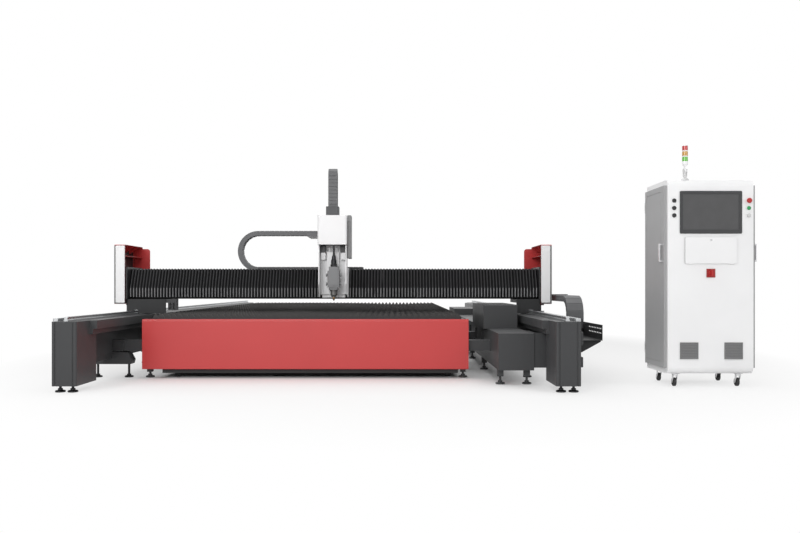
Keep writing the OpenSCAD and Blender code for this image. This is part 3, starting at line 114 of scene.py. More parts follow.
# %% [markdown]
# Every finish below is a small network of nodes. It could be linked by hand, or with one line for each
# node and each link, which is soon hard to read. Here arithmetic does it: `Value` wraps one output
# socket, and its operators add Math nodes. `Nodes` adds any other node to a tree.

# %% Socket arithmetic


class Value:
    """One output socket of a node tree. Arithmetic on it adds Math nodes."""

    def __init__(self, nodes, socket):
        self.nodes = nodes
        self.socket = socket

    def math(self, operation, *numbers):
        settings = {"operation": operation}
        return self.nodes.node("ShaderNodeMath", settings, dict(enumerate(numbers)))

    def __add__(self, other):
        return self.math("ADD", self, other)

    __radd__ = __add__

    def __mul__(self, other):
        return self.math("MULTIPLY", self, other)

    __rmul__ = __mul__

    def __sub__(self, other):
        return self.math("SUBTRACT", self, other)

    def __rsub__(self, other):
        return self.math("SUBTRACT", other, self)

    def __truediv__(self, other):
        return self.math("DIVIDE", self, other)

    def __rtruediv__(self, other):
        return self.math("DIVIDE", other, self)

    def __abs__(self):
        return self.math("ABSOLUTE", self)

    def smaller(self, other):
        return self.math("MINIMUM", self, other)

    def larger(self, other):
        return self.math("MAXIMUM", self, other)


print("socket arithmetic ready")

# %% Node trees


class Nodes:
    """A node tree to which nodes are added one by one."""

    def __init__(self, tree):
        self.tree = tree

    def node(self, kind, settings, sockets, output=0):
        """Adds a node, sets it up, fills its sockets and returns one of its outputs, if it has any."""
        made = self.tree.nodes.new(kind)
        for key, value in settings.items():
            setattr(made, key, value)
        for key, value in sockets.items():
            self.fill(made.inputs[key], value)
        return Value(self, made.outputs[output]) if made.outputs else None

    def fill(self, socket, value):
        """Links a value into a socket, or writes a plain number, vector or colour there."""
        if isinstance(value, Value):
            self.tree.links.new(value.socket, socket)
        else:
            socket.default_value = value

    def ramp(self, value, start, end):
        """0 at the start, 1 at the end, and straight between them."""
        sockets = {"Value": value, "From Min": start, "From Max": end}
        return self.node("ShaderNodeMapRange", {}, sockets, "Result")


print("node trees ready")

# %% [markdown]
# A finish is one material that ends in a Principled shader. Patterns could come from pictures, but then
# every solid would have to be unwrapped. Noise in object coordinates needs no unwrapping and has the
# same grain size on a small knob and on an eight-metre bed, so all patterns start from those
# coordinates.

# %% Finish


def rgba(colour):
    return (*colour, 1)


def shade(colour, factor):
    """A lighter or darker version of a colour."""
    return tuple(min(1.0, c * factor) for c in colour)


class Finish(Nodes):
    """One material with a Principled shader, built from procedural nodes."""

    def __init__(self, name, colour, roughness, metallic=0.0):
        self.material = bpy.data.materials.new(name)
        self.material.use_nodes = True
        self.material.diffuse_color = rgba(colour)
        super().__init__(self.material.node_tree)
        self.shader = self.tree.nodes["Principled BSDF"]
        self.set("Base Color", rgba(colour))
        self.set("Roughness", roughness)
        self.set("Metallic", metallic)
        self.place = self.node("ShaderNodeTexCoord", {}, {}, "Object")

    def set(self, name, value):
        self.fill(self.shader.inputs[name], value)

    def along(self, axis):
        """One of the object coordinates."""
        return self.node("ShaderNodeSeparateXYZ", {}, {0: self.place}, axis)

    def stretched(self, x, y, z):
        """Object coordinates, scaled along each axis."""
        return self.node("ShaderNodeMapping", {}, {"Vector": self.place, "Scale": (x, y, z)})

    def noise(self, scale, detail=3.0, where=None):
        sockets = {"Vector": where or self.place, "Scale": scale, "Detail": detail}
        return self.node("ShaderNodeTexNoise", {}, sockets, "Fac")

    def mix(self, factor, first, second):
        """A blend of two colours, each of them plain or linked."""
        first, second = [rgba(end) if isinstance(end, tuple) else end for end in (first, second)]
        sockets = {"Factor": factor, "A": first, "B": second}
        return self.node("ShaderNodeMix", {"data_type": "RGBA"}, sockets, "Result")

    def clouded(self, noise, colour, dark, light):
        """Lets the colour drift between a darker and a lighter shade of itself."""
        self.set("Base Color", self.mix(noise, shade(colour, dark), shade(colour, light)))

    def bump(self, height, strength, distance):
        sockets = {"Strength": strength, "Distance": distance, "Height": height}
        self.set("Normal", self.node("ShaderNodeBump", {}, sockets, "Normal"))

    def use(self, obj):
        obj.data.materials.clear()
        obj.data.materials.append(self.material)


print("finish class ready")

# %% [markdown]
# The beds, the covers and the cabinet are welded or folded from sheet and sprayed. Sprayed paint is
# never quite even: its tone drifts over a metre or so, its gloss is patchy, and close up it has a fine
# skin called orange peel. A plain colour would look like plastic. Three noises, wide, middle and fine,
# give the three effects, and powder coat only needs a coarser and drier grain.

# %% Paint finishes
BED_GREY = (0.052, 0.053, 0.055)
RED = (0.5, 0.034, 0.034)
WHITE = (0.87, 0.87, 0.875)
DOOR_GREY = (0.36, 0.362, 0.366)
HEAD_GREY = (0.19, 0.192, 0.197)
NEAR_BLACK = (0.012, 0.012, 0.013)


def enamel(name, colour, rough, peel=0.08, grain=420.0, coat=0.0, sheen=0.5):
    """Sprayed paint with tone drift, patchy gloss and orange peel."""
    made = Finish(name, colour, rough)
    made.set("Specular IOR Level", sheen)
    made.clouded(made.noise(scale=1.3, detail=4.0), colour, dark=0.9, light=1.1)
    made.set("Roughness", made.noise(scale=6.0, detail=5.0) * 0.12 + (rough - 0.06))
    made.set("Coat Weight", coat)
    made.set("Coat Roughness", 0.12)
    made.bump(made.noise(grain, detail=2.0), strength=peel, distance=0.0006)
    return made


bed_enamel = enamel("bed_enamel", BED_GREY, 0.42, sheen=0.25)
# A darker copy of the bed enamel; on the slag tray under the table and in the vent slots it is painted
# shade.
dark_and_shade_enamel = enamel("dark_and_shade_enamel", shade(BED_GREY, 0.5), 0.45, sheen=0.25)
red_enamel = enamel("red_enamel", RED, 0.36, coat=0.2)
white_coat = enamel("white_coat", WHITE, 0.42, peel=0.12, grain=300.0)
door_coat = enamel("door_coat", DOOR_GREY, 0.46, peel=0.16, grain=300.0)
vent_coat = enamel("vent_coat", shade(DOOR_GREY, 0.48), 0.5, peel=0.16, grain=300.0)
head_coat = enamel("head_coat", HEAD_GREY, 0.4, peel=0.12, grain=600.0)
black_enamel = enamel("black_enamel", NEAR_BLACK, 0.42)
print("finishes so far:", len(bpy.data.materials))

# %% [markdown]
# Rails and gear teeth are ground, which leaves fine lines along their length; cast and plated pieces
# have a sandy skin. Scratches could be painted on, but noise stretched along one axis gives the same
# lines and runs on for a whole rail. Two ground finishes are needed, because one pair of rails lies
# along the beds and the other across the gantry.

# %% Metal finishes
STEEL = (0.56, 0.57, 0.58)


def ground(name, colour, rough, scales):
    """Ground steel, with fine lines along the axis whose scale is small."""
    made = Finish(name, colour, rough, metallic=1.0)
    lines = made.noise(scale=1.0, detail=4.0, where=made.stretched(*scales))
    made.clouded(lines, colour, dark=0.82, light=1.12)
    made.set("Roughness", lines * 0.22 + (rough - 0.1))
    made.bump(lines, strength=0.12, distance=0.0004)
    return made


def cast_metal(name, colour, rough):
    """Cast or plated metal with a sandy skin."""
    made = Finish(name, colour, rough, metallic=1.0)
    sand = made.noise(scale=700.0)
    made.clouded(made.noise(scale=9.0), colour, dark=0.85, light=1.1)
    made.set("Roughness", sand * 0.2 + (rough - 0.1))
    made.bump(sand, strength=0.15, distance=0.0005)
    return made


rail_steel = ground("rail_steel", STEEL, 0.3, scales=(240.0, 3.0, 240.0))
cross_rail_steel = ground("cross_rail_steel", STEEL, 0.3, scales=(3.0, 240.0, 240.0))
dark_steel = cast_metal("dark_steel", (0.13, 0.128, 0.125), 0.4)
zinc_plate = cast_metal("zinc_plate", (0.62, 0.62, 0.63), 0.28)
black_oxide = cast_metal("black_oxide", (0.035, 0.035, 0.037), 0.4)
nozzle_copper = cast_metal("nozzle_copper", (0.5, 0.3, 0.16), 0.3)
print("finishes so far:", len(bpy.data.materials))

# %% [markdown]
# The slats carry the sheet that is being cut. They are dark with mill scale, and the beam browns and
# splashes their tips. There are far too many tips to paint by hand. Height does it in one go: a ramp
# over the last five centimetres, broken up by a blotchy noise.

# %% Burnt slat steel
MILL_SCALE = (0.022, 0.022, 0.023)
BURNT_TIP = (0.075, 0.07, 0.066)
BURNT_TALL = 0.05
_, slat_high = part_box("cutting_slats")


def burnt_steel(name, tip_z):
    """Slat steel: mill scale below, heat-browned and splashed with slag at the tips."""
    made = Finish(name, MILL_SCALE, 0.5, metallic=0.3)
    reach = made.ramp(made.along("Z"), tip_z - BURNT_TALL, tip_z)
    patch = made.noise(scale=26.0, detail=6.0)
    mottled = made.mix(patch, shade(MILL_SCALE, 0.7), shade(MILL_SCALE, 1.5))
    made.set("Base Color", made.mix(reach * patch, mottled, BURNT_TIP))
    made.set("Roughness", patch * 0.4 + 0.35)
    made.bump(made.noise(scale=160.0, detail=5.0), strength=0.35, distance=0.002)
    return made


slat_steel = burnt_steel("slat_steel", slat_high.z)
print("slats burnt above z =", round(slat_high.z - BURNT_TALL, 3))

# %% [markdown]
# Chain links, buttons, bezels and wheels are moulded plastic or rubber. The mould leaves a faint pebble
# in the skin, and the tone is a little cloudy. Each piece could have a network of its own; one maker
# with colour, roughness and pebble covers them all and keeps them alike.

# %% Plastic and rubber finishes


def moulded(name, colour, rough, pebble=0.2):
    """Moulded plastic or rubber with a pebbled skin."""
    made = Finish(name, colour, rough)
    grain = made.noise(scale=900.0, detail=2.0)
    made.clouded(made.noise(scale=12.0), colour, dark=0.88, light=1.14)
    made.set("Roughness", grain * 0.16 + (rough - 0.08))
    made.bump(grain, strength=pebble, distance=0.0004)
    return made


chain_nylon = moulded("chain_nylon", (0.1, 0.101, 0.105), 0.5)
collar_nylon = moulded("collar_nylon", (0.05, 0.051, 0.054), 0.5)
black_plastic = moulded("black_plastic", (0.022, 0.022, 0.024), 0.45)
rubber = moulded("rubber", (0.025, 0.025, 0.026), 0.7)
bezel_plastic = moulded("bezel_plastic", (0.03, 0.031, 0.033), 0.4)
screen_face = moulded("screen_face", (0.062, 0.062, 0.064), 0.55, pebble=0.02)
red_plastic = moulded("red_plastic", (0.42, 0.014, 0.014), 0.3, pebble=0.05)
plate_red = moulded("plate_red", (0.32, 0.016, 0.016), 0.35, pebble=0.05)
green_plastic = moulded("green_plastic", (0.02, 0.3, 0.09), 0.25, pebble=0.05)
pearl_plastic = moulded("pearl_plastic", (0.6, 0.6, 0.6), 0.25, pebble=0.05)
print("finishes so far:", len(bpy.data.materials))

# %% [markdown]
# The bellows are coated cloth, folded like an accordion. The outer ridges are painted grey as a
# highlight where they face the light, and the folds stay black, as the cloth's own colour and painted
# shade together. Each side of a pleat is one face from ridge to fold, so painting faces can't show
# this;
# the colour has to change within a face. How deep a point lies behind the front tells ridge from fold.
# The upper part leans back, so the depth is also taken behind a leaning plane, and the smaller of the
# two counts; there the ridges get a darker grey, as painted shade on the part that catches less light.
# Two crossed waves make the weave.

# %% Bellows cloth
# Painted light: the fold black doubles as shade, and the ridge greys are highlights, dimmer on the
# upper part.
FOLD_SHADE_BLACK = (0.01, 0.01, 0.0105)
RIDGE_HIGHLIGHT_UPPER = (0.08, 0.08, 0.083)
RIDGE_HIGHLIGHT_LOWER = (0.4, 0.4, 0.41)
RIDGE_DEEP, RIDGE_TOP = 0.013, 0.001
BEND_HALF = 0.004
BELLOWS_BEND_Z = at(0, 0, 860).z
BELLOWS_LEAN = deg(23.5)
bellows_low, bellows_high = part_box("bellows_left")


def pleated(name, front, bend_z, lean):
    """Coated cloth: a fine weave, black in the folds, with a painted grey highlight along the outer
    ridges.
    """
    made = Finish(name, FOLD_SHADE_BLACK, 0.6)
    waves = {"Vector": made.place, "Scale": 260.0}
    warp, weft = [
        made.node("ShaderNodeTexWave", {"bands_direction": way}, waves, "Fac") for way in ("X", "Z")
    ]
    cloth = warp * weft
    behind = made.along("Y") - front
    above = made.along("Z") - bend_z
    leaning = behind * math.cos(lean) - above * math.sin(lean)
    # Painted highlight near the front plane, painted shade deeper in the folds.
    ridge_highlight = made.ramp(behind.smaller(leaning), RIDGE_DEEP, RIDGE_TOP)
    # Painted shade: the leaning upper part gets the darker ridge grey.
    upright = made.ramp(above, BEND_HALF, -BEND_HALF)
    made.set("Base Color", made.mix(ridge_highlight, FOLD_SHADE_BLACK, made.mix(upright, RIDGE_HIGHLIGHT_UPPER, RIDGE_HIGHLIGHT_LOWER)))
    made.set("Roughness", cloth * 0.15 + 0.5)
    made.set("Specular IOR Level", 0.25)
    made.bump(cloth, strength=0.2, distance=0.0005)
    return made


bellows_cloth = pleated("bellows_cloth", bellows_low.y, BELLOWS_BEND_Z, BELLOWS_LEAN)
print("bellows lean back above z =", round(BELLOWS_BEND_Z, 3))

# %% [markdown]
# The signal lamp has three tinted lenses. Real ones are hollow and clear, with a light inside. At a few
# pixels across, glass would cost render time and show little more, so each lens is a coloured body
# under a glossy coat with a weak glow.

# %% Lamp lenses


def lens(name, colour):
    """Tinted plastic under a glossy coat, with a weak glow."""
    made = moulded(name, colour, 0.18, pebble=0.05)
    made.set("Coat Weight", 0.6)
    made.set("Emission Color", made.mix(made.noise(scale=30.0), shade(colour, 0.9), colour))
    made.set("Emission Strength", 0.06)
    return made


red_lens = lens("red_lens", (0.45, 0.012, 0.012))
amber_lens = lens("amber_lens", (0.5, 0.26, 0.04))
green_lens = lens("green_lens", (0.09, 0.42, 0.02))
print("finishes made:", len(bpy.data.materials))

# %% [markdown]
# Real sheet metal and castings have no knife edges: each edge has a small fold or radius that catches
# the light. The radii could be part of the solids, but then every file would swell. Here each solid is
# copied, its triangles are merged and joined back into whole faces, and a bevel modifier along its
# sharp edges is applied.

# %% Bevelled copies
MERGE_WITHIN = 0.00002
FLAT_WITHIN = deg(0.6)
BEVEL_OVER = deg(28)
SMOOTH_UNDER = deg(32)


def select_only(obj):
    bpy.ops.object.select_all(action="DESELECT")
    obj.select_set(True)
    bpy.context.view_layer.objects.active = obj


def copy_of(node, name, join=True):
    """A free copy of a solid with merged points and, if asked, triangles joined into faces."""
    select_only(frame["nodes"][node])
    bpy.ops.object.duplicate()
    copy = bpy.context.object
    copy.name = name
    copy.parent = None
    for key in list(copy.keys()):
        del copy[key]
    bpy.ops.object.mode_set(mode="EDIT")
    bpy.ops.mesh.select_all(action="SELECT")
    bpy.ops.mesh.remove_doubles(threshold=MERGE_WITHIN)
    if join:
        bpy.ops.mesh.dissolve_limited(angle_limit=FLAT_WITHIN)
    bpy.ops.object.mode_set(mode="OBJECT")
    return copy


def soften(obj, width, segments=2):
    """Bevels the sharp edges by a width in millimetres and smooths the rest."""
    select_only(obj)
    if width > 0:
        bevel = obj.modifiers.new("edge", "BEVEL")
        bevel.width = width * MM
        bevel.segments = segments
        bevel.limit_method = "ANGLE"
        bevel.angle_limit = BEVEL_OVER
        bpy.ops.object.modifier_apply(modifier="edge")
    bpy.ops.object.shade_smooth_by_angle(angle=SMOOTH_UNDER)
    if width > 0:
        level = obj.modifiers.new("level", "WEIGHTED_NORMAL")
        level.keep_sharp = True
        bpy.ops.object.modifier_apply(modifier="level")


print("bevels up to 4 mm wide, on edges sharper than", round(math.degrees(BEVEL_OVER)), "degrees")

# %% [markdown]
# A dressed copy has to move with the machine. Copies could be parented to the moving bodies by hand;
# the record already says which body each solid belongs to, so the copy is given the same body, and a
# finish of its own. It then stands for the solid, which stays behind it for collision.

# %% Dressing helpers
BODY_OF = {
    node: body for body, nodes in frame["record"]["behaviour"]["bodies"].items() for node in nodes
}
skins = {}


def dress(node, finish, width):
    """A bevelled copy takes the place and body of a solid, with a finish of its own."""
    obj = copy_of(node, node + "_skin")
    soften(obj, width)
    finish.use(obj)
    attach(obj, BODY_OF[node])
    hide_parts(node)
    skins[node] = obj


# %% [markdown]
# The beds, the table and the duct are welded boxes with broad rounded edges, and the gantry is a heavy
# beam between two saddles under folded covers. One bevel for all would round the thin sheet away, so
# each piece has its own width in millimetres. The slag tray goes without, as its axles run close in
# their holes.

# %% Beds, table and gantry
for node, finish, width in [
    ("bed_left", bed_enamel, 3), ("bed_right", bed_enamel, 3), ("cross_beams", bed_enamel, 4),
    ("table_frame", bed_enamel, 2), ("table_front_panel", red_enamel, 2),
    ("extraction_duct", bed_enamel, 4), ("y_chain_trough", dark_and_shade_enamel, 1),
    # The slag tray under the table takes the darker enamel as painted shade.
    ("slag_tray", dark_and_shade_enamel, 0), ("gantry_beam", black_enamel, 3), ("saddles", dark_and_shade_enamel, 4),
    ("rail_blocks", rail_steel, 2), ("end_covers", red_enamel, 1.5), ("end_fascias", white_coat, 4),
    ("y_motors", black_enamel, 2), ("chain_bracket", bed_enamel, 1.5),
]:
    dress(node, finish, width)
print("skins so far:", len(skins))

# %% [markdown]
# The carriage is a white folded cover on a flanged plate, with a machined head that slides on two
# guides. Its edges are finer than those of the beds, and the small turned pieces at the nozzle get the
# finest bevels, or their steps would run together.

# %% Carriage and head
for node, finish, width in [
    ("carriage_frame", white_coat, 2), ("carriage_cover", white_coat, 3), ("side_box", vent_coat, 3),
    ("z_guides", white_coat, 2), ("head_plate", white_coat, 2), ("cutting_head", head_coat, 1.5),
    ("nozzle", dark_steel, 1), ("fibre_connector", black_oxide, 1.5),
]:
    dress(node, finish, width)
print("skins so far:", len(skins))

# %% [markdown]
# The cabinet is thin folded sheet with doors on both sides, and plastic fittings on its front. The
# shell's large corner is already round in the solid, so its other edges only need about a millimetre.

# %% Cabinet
for node, finish, width in [
    ("cabinet_shell", white_coat, 1.2), ("cabinet_fittings", door_coat, 3),
    ("door_left", door_coat, 2), ("door_right", door_coat, 2), ("monitor", bezel_plastic, 1.5),
    ("keyboard_flap", white_coat, 2), ("front_vents", vent_coat, 0.6),
    ("panel_fittings", black_plastic, 1), ("switch_handle", red_plastic, 2),
    ("estop_button", red_plastic, 2), ("start_button", green_plastic, 1.5),
    ("reset_button", pearl_plastic, 1.5), ("lamp_base", pearl_plastic, 1),
    ("lamp_tower", white_coat, 1.5), ("lamp_lenses", red_lens, 1.5),
]:
    dress(node, finish, width)
print("skins so far:", len(skins))

# %% [markdown]
# Feet, rails, slats, racks, rollers and casters are bought-in or cut parts with crisp edges. Slats and
# gear teeth repeat so often that a bevel would multiply their faces without being seen, so they are
# only smoothed, with a width of nought.

# %% Feet, rails, teeth and wheels
for node, finish, width in [
    ("leveling_feet", black_oxide, 1.5), ("guide_rails", rail_steel, 1),
    ("x_rails", cross_rail_steel, 1), ("cutting_slats", slat_steel, 0), ("gear_racks", rail_steel, 0),
    ("pinion_left", rail_steel, 0), ("pinion_right", rail_steel, 0),
    ("tray_axle_front", rubber, 0), ("tray_axle_rear", rubber, 0),
]:
    dress(node, finish, width)
for corner in ("front_left", "front_right", "rear_left", "rear_right"):
    dress("caster_fork_" + corner, zinc_plate, 0.8)
    dress("caster_wheel_" + corner, rubber, 1)
print("skins made:", len(skins))

# %% [markdown]
# The tray hangs on its two axles by round holes. They come as coarse polygons, whose flats would touch
# the turning axles. The holes could be cut anew with a boolean; moving their points a little outwards
# does the same and leaves the rest of the tray alone.

# %% Hanger holes
HOLE_REACH = 0.0085
HOLE_GROW = 1.12


def open_holes(obj, axle):
    """Moves the points that lie close around an axle's centre line away from it."""
    low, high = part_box(axle)
    middle = (low + high) / 2
    select_only(obj)
    bpy.ops.object.mode_set(mode="EDIT")
    bpy.ops.mesh.select_mode(type="VERT")
    bpy.ops.mesh.select_all(action="DESELECT")
    bpy.ops.object.mode_set(mode="OBJECT")
    for point in obj.data.vertices:
        point.select = math.hypot(point.co.y - middle.y, point.co.z - middle.z) < HOLE_REACH
    bpy.ops.object.mode_set(mode="EDIT")
    bpy.ops.transform.resize(value=(1, HOLE_GROW, HOLE_GROW), center_override=middle)
    bpy.ops.object.mode_set(mode="OBJECT")


for axle in ("tray_axle_front", "tray_axle_rear"):
    open_holes(skins["slag_tray"], axle)
print("hanger holes opened by a factor of", HOLE_GROW)

# %% [markdown]
# Some pieces are assembled from parts in different finishes. The lamp's red, amber and green lenses are
# one solid. They could be cut apart into three objects; a second and third material on the same mesh
# keeps them one piece. `paint` picks faces by where their middle is and which way they look.

# %% Lens colours


def paint(obj, finish, chosen):
    """Gives the faces that are chosen by their middle and normal another finish."""
    obj.data.materials.append(finish.material)
    index = len(obj.data.materials) - 1
    for face in obj.data.polygons:
        if chosen(face.center, face.normal):
            face.material_index = index


lens_low, lens_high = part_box("lamp_lenses")
lens_step = (lens_high.z - lens_low.z) / 3
paint(skins["lamp_lenses"], amber_lens, lambda c, n: c.z < lens_low.z + 2 * lens_step)
paint(skins["lamp_lenses"], green_lens, lambda c, n: c.z < lens_low.z + lens_step)
print("lens colours from the top: red, amber, green")

# %% [markdown]
# On the carriage, the collar and the arm of the upright chain are nylon, the stops beside the lift
# guides are black plastic and the nozzle ends in a copper tip. Each was fixed to its painted neighbour
# in the solid, so a height and a distance from the carriage's middle tell it apart.

# %% Second finishes of the carriage
CARRIAGE_X = 6
COLLAR_FOOT = at(0, 0, 1602.5).z
ARM_REACH = at(CARRIAGE_X - 152, 0, 0).x
ARM_FOOT = at(0, 0, 1290).z
STOP_FOOT = at(0, 0, 1225).z
STOP_MID = at(CARRIAGE_X, 0, 0).x
STOP_REACH = at(CARRIAGE_X + 70, 0, 0).x - STOP_MID
TIP_TALL = 0.03

nozzle_low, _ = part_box("nozzle")
paint(skins["carriage_cover"], collar_nylon, lambda c, n: c.z > COLLAR_FOOT)
paint(skins["carriage_frame"], chain_nylon, lambda c, n: c.z > ARM_FOOT and c.x < ARM_REACH)
paint(skins["z_guides"], black_plastic,
      lambda c, n: c.z > STOP_FOOT and abs(c.x - STOP_MID) > STOP_REACH)
paint(skins["nozzle"], nozzle_copper, lambda c, n: c.z < nozzle_low.z + TIP_TALL)
print("carriage painted: collar, arm, stops and tip")

# %% [markdown]
# The end covers are red outside, with a grey front edge and a black lining, and the left saddle has a
# black guard. A lining could be a thin box of its own, but two faces so close together flicker in a
# render. Painting the inward faces avoids that.

# %% Second finishes of the gantry ends
COVER_EDGE = 0.004
COVER_WALL = 0.006
FACING = 0.9
GUARD_LEFT, GUARD_RIGHT = at(-1760, 0, 0).x, at(-1647, 0, 0).x
lining_out = cover_high.x - centre_x - COVER_WALL


def is_front_edge(c, n):
    return n.y < -0.5 and c.y < cover_low.y + COVER_EDGE


def is_lining(c, n):
    out = c.x - centre_x
    return n.x * out < -FACING * abs(out) and lining_out < abs(out)


paint(skins["end_covers"], vent_coat, is_front_edge)
paint(skins["saddles"], black_plastic, lambda c, n: GUARD_LEFT < c.x < GUARD_RIGHT)
paint(skins["end_covers"], black_enamel, is_lining)
print("gantry ends painted: front edges, lining and guard")

# %% [markdown]
# The cabinet's front has a red plate behind its switch, a screen inside the bezel, a flap with a plated
# lock, and vents. The flap's side faces are painted grey as the shade in the gap around it, and the
# vent slots are painted dark as the shade inside them. The door handles are plated too. All of them are
# found by how far they lie behind or before the piece's own front.

# %% Second finishes of the cabinet
PLATE_HALF = 0.06
BEZEL_DEEP = 0.003
LOCK_PROUD = 0.0049
VENT_LIP, VENT_RIM = 0.0012, 0.008
HANDLE_OUT = 0.016

panel_low, panel_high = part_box("monitor")
panel_mid = (panel_low.x + panel_high.x) / 2
flap_low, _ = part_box("keyboard_flap")
vent_low, vent_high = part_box("front_vents")


def is_shaded_vent_slot(c, n):
    inside = vent_low.z + VENT_RIM < c.z < vent_high.z - VENT_RIM
    return inside and c.y > vent_low.y + VENT_LIP and n.z < 0.2 and n.y < 0.5


paint(skins["panel_fittings"], plate_red, lambda c, n: abs(c.x - panel_mid) < PLATE_HALF)
paint(skins["monitor"], screen_face, lambda c, n: n.y < -FACING and c.y > panel_low.y + BEZEL_DEEP)
# Painted shade: the flap's side faces turn grey to draw the gap around it.
paint(skins["keyboard_flap"], vent_coat, lambda c, n: abs(n.y) < 0.3)
paint(skins["keyboard_flap"], zinc_plate, lambda c, n: c.y < flap_low.y + LOCK_PROUD)
# Painted shade: the slots between the louvres get the darker enamel.
paint(skins["front_vents"], dark_and_shade_enamel, is_shaded_vent_slot)
for node, corner in [("door_left", 0), ("door_right", 1)]:
    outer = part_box(node)[corner].x
    paint(skins[node], zinc_plate, lambda c, n: abs(c.x - outer) < HANDLE_OUT)
print("cabinet painted: plate, screen, flap, vents and handles")

# %% [markdown]
# The long rails are held down by a row of cap screws. Each could be placed on its own, but there are
# some two hundred. One screw is a twelve-sided disc with a sunk socket, which is few faces for
# something so small, and an array modifier repeats it along the rail. The heads stay flush, so that the
# rail blocks pass over them.

# %% Rail screws
SCREW_SIDES = 12
SCREW_R, SCREW_DEEP, SCREW_PROUD, SCREW_STEP = 0.009, 0.006, 0.00015, 0.08
RAIL_HALF = 0.017
rail_low, rail_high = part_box("guide_rails")


def screw_row(name, x, finish):
    """A row of cap screws let into the top of a rail."""
    bpy.ops.object.select_all(action="DESELECT")
    bpy.ops.mesh.primitive_cylinder_add(vertices=SCREW_SIDES, radius=SCREW_R, depth=SCREW_DEEP)
    row = bpy.context.object
    row.name = name
    top = rail_high.z + SCREW_PROUD
    bpy.ops.transform.translate(value=Vector((x, rail_low.y + SCREW_STEP / 2, top - SCREW_DEEP / 2)))
    bpy.ops.object.transform_apply(location=True)
    bpy.ops.object.mode_set(mode="EDIT")
    bpy.ops.mesh.select_mode(type="FACE")
    bpy.ops.mesh.select_all(action="DESELECT")
    bpy.ops.object.mode_set(mode="OBJECT")
    for face in row.data.polygons:
        face.select = face.normal.z > FACING
    bpy.ops.object.mode_set(mode="EDIT")
    bpy.ops.mesh.inset(thickness=SCREW_R / 2)
    bpy.ops.mesh.extrude_region_move(TRANSFORM_OT_translate={"value": (0, 0, -SCREW_DEEP / 2)})
    bpy.ops.object.mode_set(mode="OBJECT")
    along = row.modifiers.new("along", "ARRAY")
    along.use_relative_offset = False
    along.use_constant_offset = True
    along.constant_offset_displace = (0, SCREW_STEP, 0)
    along.count = int((rail_high.y - rail_low.y) / SCREW_STEP)
    bpy.ops.object.modifier_apply(modifier="along")
    bpy.ops.object.shade_smooth_by_angle(angle=SMOOTH_UNDER)
    finish.use(row)
    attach(row, BODY_OF["guide_rails"])


screw_row("left_rail_screws", rail_low.x + RAIL_HALF, black_oxide)
screw_row("right_rail_screws", rail_high.x - RAIL_HALF, black_oxide)
print("rail screws set every", SCREW_STEP, "m")

# %% [markdown]
# A bellows is held by the beam's end at one side and by the carriage at the other, and its pleats open
# and close between them. Each pleat could be a body with a joint of its own. Real cloth spreads the
# travel evenly over all pleats. Here each bellows is a copy of its solid, baked in place, and its faces
# stay flat, as smooth shading would blur the folds.


def bellows(node):
    """A flat-shaded copy of a bellows, baked in place."""
    obj = copy_of(node, node + "_skin", join=False)
    bpy.ops.object.shade_flat()
    bellows_cloth.use(obj)
    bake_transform(obj)
    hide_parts(node)


bellows("bellows_left")
bellows("bellows_right")

# %% [markdown]
# A drag chain guides cables. One end lies on a fixed tray, the other rides on the moving part, and the
# bend between them travels at half the speed. A joint for each link would be true to life but far too
# many. Here each chain is cut into three: the run on the tray, the bend and the moving run.

# %% Drag chain helpers
LINK_BEVEL = 2


def cut_chain(node, name, cuts):
    """A copy of a chain with only what lies on the normal's side of each cutting plane."""
    obj = copy_of(node, name)
    for point, normal in cuts:
        select_only(obj)
        bpy.ops.object.mode_set(mode="EDIT")
        bpy.ops.mesh.select_all(action="SELECT")
        bpy.ops.mesh.bisect(
            plane_co=point, plane_no=normal, clear_inner=True, clear_outer=False, use_fill=True
        )
        bpy.ops.object.mode_set(mode="OBJECT")
    soften(obj, LINK_BEVEL, segments=1)
    chain_nylon.use(obj)
    return obj


def drag_chain(node, bend, along, up):
    """Cuts a chain at its bend into three pieces, bakes them in place and returns the still run."""
    along, up = Vector(along), Vector(up)
    still_run = cut_chain(node, node + "_still_run", [(bend, along), (bend, -up)])
    moving_run = cut_chain(node, node + "_moving_run", [(bend, along), (bend, up)])
    turn = cut_chain(node, node + "_turn", [(bend, -along)])
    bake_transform(still_run)
    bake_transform(turn)
    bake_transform(moving_run)
    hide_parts(node)
    return still_run


def chain_bend(node, axis, corner, radius):
    """Middle of a chain's bend: one radius in from one end of its box along an axis."""
    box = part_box(node)
    point = (box[0] + box[1]) / 2
    point[axis] = box[corner][axis] + (radius if corner == 0 else -radius)
    return point


print("chain helpers ready")

# %% [markdown]
# Three chains feed the machine: one along the bed for the gantry, one across the gantry for the
# carriage, and one upright for the head. Each is cut one bend radius in from the end of its box.

# %% Drag chains
X_TURN, Y_TURN, Z_TURN = 0.222, 0.194, 0.085
x_still_shaded = drag_chain(
    "x_chain", chain_bend("x_chain", 0, 0, X_TURN),
    along=(1, 0, 0), up=(0, 0, 1),
)
# Painted shade: the lower, still run lies under the moving run, so it gets black plastic instead of the
# chain's nylon.
black_plastic.use(x_still_shaded)
drag_chain(
    "y_chain", chain_bend("y_chain", 1, 0, Y_TURN),
    along=(0, 1, 0), up=(0, 0, 1),
)
drag_chain(
    "z_chain", chain_bend("z_chain", 2, 1, Z_TURN),
    along=(0, 0, -1), up=(0, -1, 0),
)

# %% [markdown]
# A product photo stands on white paper. More lamp light could make the floor white, but it would
# bleach the machine as well. Instead the floor is pale, and to rays that come from the camera, from
# metal or through glass it is mixed with plain white. The share of white is nought under the machine,
# where the shadow is deep, larger around it and full farther off.

